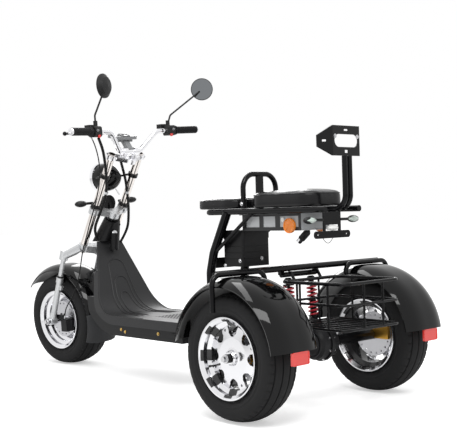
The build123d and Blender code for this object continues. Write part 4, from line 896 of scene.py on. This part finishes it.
for x, z in ((-0.383, 0.496), (-0.466, 0.515), (-0.608, 0.528)):
    met = meeting(("seat_posts", "controller_case", "rear_subframe"), (x, 0.3, z), (x, 0.05, z))
    if met:
        spots.append((met[0], (0, 1, 0)))
for side in (1, -1):
    for y, z in ((0.058, 0.930), (0.058, 0.950)):
        met = meeting(("backrest_plate",), (-1.2, side * y, z), (-0.9, side * y, z))
        if met and met[0].x > -0.97:
            spots.append((met[0], met[1]))
bolts("frame_bolts", "chassis", spots, 0.0055)

# ---------------------------------------------------------------- electronics tray and side reflectors
# A grey moulded control box in a thin steel tray with black straps, a large white plastic screw in its
# side and a round amber reflector on each flank.
box_grey = finish("box_grey", (0.46, 0.47, 0.48), 0.42, grain=1000, bump=0.2, depth=0.0003, spread=0.08)
sheet_side = 0.0735           # the tray's own sheet lies outside this half width, the box inside it
tree = box_grey.node_tree
shader = tree.nodes["Principled BSDF"]
split = add_node(tree, "ShaderNodeSeparateXYZ", {0: tree.nodes["Texture Coordinate"].outputs["Object"]})
cover = add_node(tree, "ShaderNodeMix", data_type="RGBA")
fill(tree, cover, {"Factor": add_math(tree, "GREATER_THAN", add_math(tree, "ABSOLUTE", split.outputs["Y"]),
                                      sheet_side),
                   "A": shader.inputs["Base Color"].links[0].from_socket, "B": (0.010, 0.010, 0.011, 1)})
fill(tree, shader, {"Base Color": cover.outputs["Result"]})
dress(box_grey, "electronics_tray")
white_nylon = finish("white_nylon", (0.82, 0.82, 0.80), 0.4, grain=900, bump=0.15, depth=0.0002)
dress(white_nylon, "plate_lamp")
knobs = bmesh.new()
for side in (1, -1):
    met = meeting(("electronics_tray",), (-0.700, side * 0.3, 0.668), (-0.700, 0, 0.668))
    lathe(knobs, [(-0.001, 0), (-0.001, 0.0088), (0.003, 0.0088), (0.0045, 0.0070), (0.0045, 0.0022),
                  (0.0030, 0.0016), (0.0030, 0)], 28, toward(met[0], (0, side, 0)))
piece("box_screws", knobs, white_nylon, "chassis")
orange_prism = prism_with_painted_facet_shade("orange_prism", (0.86, 0.24, 0.01), 0.12, 300)
dress(orange_prism, "side_reflectors")
studs = bmesh.new()
for side in (1, -1):
    low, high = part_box("side_reflectors")
    centre = Vector(((low.x + high.x) / 2, side * high.y, (low.z + high.z) / 2))
    face = toward(centre, (0, side, 0))
    lathe(studs, [(-0.002, 0.0225), (0.0016, 0.0238), (0.0030, 0.0262), (0.0016, 0.0272), (-0.004, 0.0272),
                  (-0.004, 0.0225)], 48, face, ring=True)
    for i in range(8):
        angle = math.pi / 4 * i
        out = Vector((math.cos(angle), math.sin(angle), 0))
        sweep_tube(studs, [face @ (out * 0.005 + Vector((0, 0, 0.0004))),
                           face @ (out * 0.0225 + Vector((0, 0, 0.0004)))], 0.0008, 6)
piece("reflector_rims", studs, orange_prism, "chassis")

# ---------------------------------------------------------------- tail plug and lamp leads
# The tail lamp's loose connector hangs on its lead behind the tray: a black moulded barrel with a plated
# sleeve, and a bare wire bowed under the plate bracket.
barrel, sleeve, leads = bmesh.new(), bmesh.new(), bmesh.new()
barrel_top = Vector((-0.757, 0.004, 0.622))
barrel_way = (Vector((-0.722, 0.010, 0.590)) - barrel_top).normalized()
hang = toward(barrel_top, barrel_way)
lathe(barrel, [(-0.004, 0), (-0.004, 0.008), (0.000, 0.0115), (0.006, 0.0130), (0.030, 0.0130),
               (0.032, 0.0118),
               (0.034, 0.0130), (0.038, 0.0130), (0.040, 0.0110), (0.040, 0)], 28, hang)
lathe(sleeve, [(0.036, 0.0090), (0.036, 0.0108), (0.054, 0.0108), (0.0555, 0.0098), (0.0555, 0.0072),
               (0.044, 0.0068),
               (0.040, 0.0068)], 28, hang, ring=True)
sweep_tube(leads, [barrel_top + barrel_way * 0.002, barrel_top + Vector((-0.010, 0, 0.010)),
                   Vector((-0.768, 0.0, 0.638)), Vector((-0.766, -0.004, 0.650))], 0.0042, 10)
bow = []
for i in range(25):
    t = i / 24
    bow.append((-0.866, 0.050 - 0.060 * t, 0.604 - 0.022 * math.sin(math.pi * t)))
sweep_tube(leads, bow, 0.0011, 6)
piece("tail_plug", barrel, moulded_black, "chassis")
piece("tail_plug_sleeve", sleeve, bright_chrome, "chassis")
piece("tail_leads", leads, moulded_black, "chassis")
dress(moulded_black, "rear_turn_signals")

# ---------------------------------------------------------------- basket and rear reflectors
# A welded wire basket in black powder coat hangs from the cross bar; each rear fender carries a red
# prismatic reflector in a thin frame.
red_prism = prism_with_painted_facet_shade("red_prism", (0.80, 0.045, 0.035), 0.14, 260)
dress(frame_black, "basket")
dress(red_prism, "rear_reflectors")
frames = bmesh.new()
for side in (1, -1):
    low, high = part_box("rear_reflectors")
    y0, y1, z0, z1, x = side * 0.306, side * 0.382, low.z, high.z, low.x - 0.0004
    corners = [(x, y0, z0), (x, y1, z0), (x, y1, z1), (x, y0, z1)]
    path = []
    for a, b in zip(corners, corners[1:] + corners[:1]):
        for t in (0.06, 0.5, 0.94):
            path.append(Vector(a).lerp(Vector(b), t))
    sweep_tube(frames, path, 0.0016, 8, closed=True)
piece("reflector_frames", frames, red_prism, "chassis")

# ---------------------------------------------------------------- cables and brake hose
# Ribbed plastic conduit gathers the switch wires and control cables, runs down both sides of the
# steering head and is clipped to the fork tubes. The brake hose rises from the front caliper.


def smooth_path(points, per_span=14):
    """Evenly read points of the smooth NURBS line that has these route points as its control points."""
    line = bpy.data.curves.new("route", "CURVE")
    line.dimensions = "3D"
    spline = line.splines.new("NURBS")
    spline.points.add(len(points) - 1)
    for point, place in zip(spline.points, points):
        point.co = (*place, 1)
    spline.order_u = 3
    spline.use_endpoint_u = True
    spline.resolution_u = per_span
    holder = bpy.data.objects.new("route", line)
    scene.collection.objects.link(holder)
    read = bpy.data.meshes.new_from_object(holder)
    out = [v.co.copy() for v in read.vertices]
    bpy.data.objects.remove(holder)
    bpy.data.curves.remove(line)
    bpy.data.meshes.remove(read)
    return out


def at_build(x, y, z):
    """A parked place for a point given in the straight-ahead drawing, in millimetres."""
    return steer_turn @ Vector(((x - 760) / 1000, y / 1000, z / 1000))


cable_black = finish("cable_black", (0.005, 0.005, 0.005), 0.4, grain=1400, bump=0.3, depth=0.0003,
                     specular=0.2)
conduit = bmesh.new()
left_run = [at_build(*p) for p in ((1029.8, 197, 1041.2), (1048, 168, 1010), (1080, 132, 975),
                                   (1104, 108, 925),
                                   (1112, 100, 865), (1122, 98, 805), (1152, 98, 752), (1186, 97, 705))]
left_run += [Vector((0.452, 0.094, 0.655)), Vector((0.470, 0.082, 0.622)), Vector((0.480, 0.066, 0.596))]
right_run = [at_build(*p) for p in ((1136, -10, 946), (1142, -26, 905), (1152, -46, 855), (1162, -58, 800),
                                    (1170, -68, 745), (1184, -76, 692))]
right_run += [Vector((0.444, -0.082, 0.650)), Vector((0.462, -0.074, 0.610)), Vector((0.476, -0.062, 0.580))]
for run in (left_run, right_run):
    fine = smooth_path(run, 40)
    ribbed = [0.0064 if i % 4 in (1, 2) else 0.0054 for i in range(len(fine))]
    sweep_tube(conduit, fine, ribbed, 12)
piece("cable_conduits", conduit, cable_black, "steering", ("control_cables",))
hose = bmesh.new()
hose_run = [at_build(*p) for p in ((1505.8, 84, 230), (1488, 94, 262), (1452, 104, 296), (1412, 108, 330),
                                   (1378, 108, 372), (1352, 106, 420), (1334, 106, 470), (1316, 108, 520),
                                   (1292, 110, 572), (1262, 110, 626), (1233, 112, 680), (1202, 111, 734),
                                   (1172, 112, 788), (1146, 116, 842), (1124, 124, 894), (1108, 138, 944),
                                   (1092, 160, 990), (1078, 184, 1026), (1068, 204, 1048))]
sweep_tube(hose, smooth_path(hose_run, 8), 0.0026, 10)
piece("brake_hose", hose, cable_black, "steering")
fittings = bmesh.new()
for end, onward in ((hose_run[0], hose_run[1]), (hose_run[-1], hose_run[-2])):
    lathe(fittings, [(-0.004, 0), (-0.004, 0.0046), (0.004, 0.0046), (0.005, 0.0038), (0.014, 0.0038),
                     (0.014, 0)], 12, toward(end, onward - end))
for run, i in ((left_run, 5), (right_run, 3)):
    lathe(fittings, [(-0.005, 0.0056), (-0.005, 0.0078), (0.005, 0.0078), (0.005, 0.0056)], 20,
          toward(run[i], run[i + 1] - run[i - 1]), ring=True)
piece("cable_fittings", fittings, satin_silver, "steering")

# ---------------------------------------------------------------- seats
# Moulded foam on a board, covered in black vinyl with piping round the edge where top and side are
# sewn. The covers are blown up as cloth, pulled in at the seam and the base, and wrinkled at the side.
vinyl = finish("vinyl", (0.004, 0.004, 0.0045), 0.22, grain=900, bump=0.08, depth=0.0004, mottle=0.1,
               spread=0.1,
               cloud=14, specular=0.3)
tree = vinyl.node_tree
shader = tree.nodes["Principled BSDF"]
pores = add_node(tree, "ShaderNodeTexVoronoi", {"Vector": tree.nodes["Texture Coordinate"].outputs["Object"],
                                                "Scale": 620})
relief = add_node(tree, "ShaderNodeBump", {"Height": pores.outputs["Distance"], "Strength": 0.10,
                                           "Distance": 0.0005,
                                           "Normal": shader.inputs["Normal"].links[0].from_socket})
fill(tree, shader, {"Normal": relief.outputs["Normal"]})


def cushion(node, name, seam_drop, wrinkles):
    """Blow up a cover cloned from a CAD pad: base and seam held, wrinkles pressed into the sides."""
    low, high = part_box(node)
    middle = (low + high) / 2
    mesh = nodes[node].data.copy()
    inset = 0.0045                # the cover starts this much smaller and is blown up to size
    farthest = 0.0075             # no point moves further than this
    for v in mesh.vertices:
        for axis in (0, 1):
            v.co[axis] = middle[axis] + (v.co[axis] - middle[axis]) * (1 - 2 * inset / (high[axis] - low[axis]))
        v.co.z = low.z + 0.0004 + (v.co.z - low.z) * (1 - 1.3 * inset / (high.z - low.z))
    made = bpy.data.objects.new(name, mesh)
    scene.collection.objects.link(made)
    remesh = made.modifiers.new("even", "REMESH")
    remesh.mode = "VOXEL"
    remesh.voxel_size = 0.0055     # within the 4 to 6 mm that cloth needs
    even = bpy.data.meshes.new_from_object(made.evaluated_get(bpy.context.evaluated_depsgraph_get()))
    made.modifiers.remove(remesh)
    made.data = even
    seam_z = high.z - seam_drop
    held = made.vertex_groups.new(name="held")
    for v in even.vertices:
        rim = max(abs(v.co.x - middle.x) / (high.x - middle.x), abs(v.co.y - middle.y) / (high.y - middle.y))
        near_seam = abs(v.co.z - seam_z) < 0.0032 and rim > 0.7
        if v.co.z < low.z + 0.006:
            held.add([v.index], 1.0, "REPLACE")
        elif near_seam:
            held.add([v.index], 0.92, "REPLACE")
    start = [v.co.copy() for v in even.vertices]
    cloth = made.modifiers.new("blown", "CLOTH")
    cloth.settings.quality = 5
    cloth.settings.mass = 0.25
    cloth.settings.use_pressure = True
    cloth.settings.uniform_pressure_force = 4
    cloth.settings.vertex_group_mass = "held"
    cloth.settings.effector_weights.gravity = 0
    cloth.point_cache.frame_start, cloth.point_cache.frame_end = 1, 20
    for frame_number in range(1, 21):
        scene.frame_set(frame_number)
    moved = bpy.data.meshes.new_from_object(made.evaluated_get(bpy.context.evaluated_depsgraph_get()))
    made.modifiers.remove(cloth)
    for v, before, after in zip(even.vertices, start, moved.vertices):
        step = after.co - before
        v.co = before + step * min(1, farthest / max(step.length, 1e-9))
    scene.frame_set(1)
    for v in even.vertices:
        around = math.atan2(v.co.y - middle.y, v.co.x - middle.x)
        reach = math.exp(-((v.co.z - seam_z) / 0.012) ** 2) if v.co.z < seam_z + 0.004 else 0
        broad = noise.noise(Vector((around * 9, v.co.z * 18, 2.3)))
        fold = broad * 0.6 + noise.noise(Vector((around * 17, 0, 7))) * 0.4
        slack = noise.noise(Vector((v.co.x * 14, v.co.y * 14, 1.1))) * 0.0012
        v.co += v.normal * (wrinkles * fold * reach + (slack if v.co.z > seam_z + 0.004 else 0))
    ease = made.modifiers.new("ease", "SMOOTH")
    ease.factor, ease.iterations = 0.5, 5
    smooth = made.modifiers.new("round", "SUBSURF")
    smooth.levels = smooth.render_levels = 1
    final = bpy.data.meshes.new_from_object(made.evaluated_get(bpy.context.evaluated_depsgraph_get()))
    made.modifiers.remove(smooth)
    made.modifiers.remove(ease)
    made.data = final
    final.name = name
    final.materials.clear()
    final.materials.append(vinyl)
    for face in final.polygons:
        face.use_smooth = True
    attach(made, "chassis")
    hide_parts(node)
    skin = surface_of(final)
    welt = []
    welt_points = 150
    half_x, half_y = (high.x - low.x) / 2, (high.y - low.y) / 2
    for i in range(welt_points):
        angle = 2 * math.pi * i / welt_points
        way = Vector((math.cos(angle) * half_x, math.sin(angle) * half_y, 0)).normalized()
        hit, normal, _, _ = skin.ray_cast(Vector((middle.x, middle.y, seam_z)) + way * 0.4, -way)
        if hit is not None:
            welt.append(hit + Vector((normal.x, normal.y, 0)) * 0.0004)
    piping = bmesh.new()
    sweep_tube(piping, welt, 0.0020, 8, closed=True)
    piece(f"{name}_piping", piping, vinyl, "chassis")


cushion("rider_seat", "rider_cushion", 0.013, 0.0016)
cushion("passenger_seat", "passenger_cushion", 0.015, 0.0030)
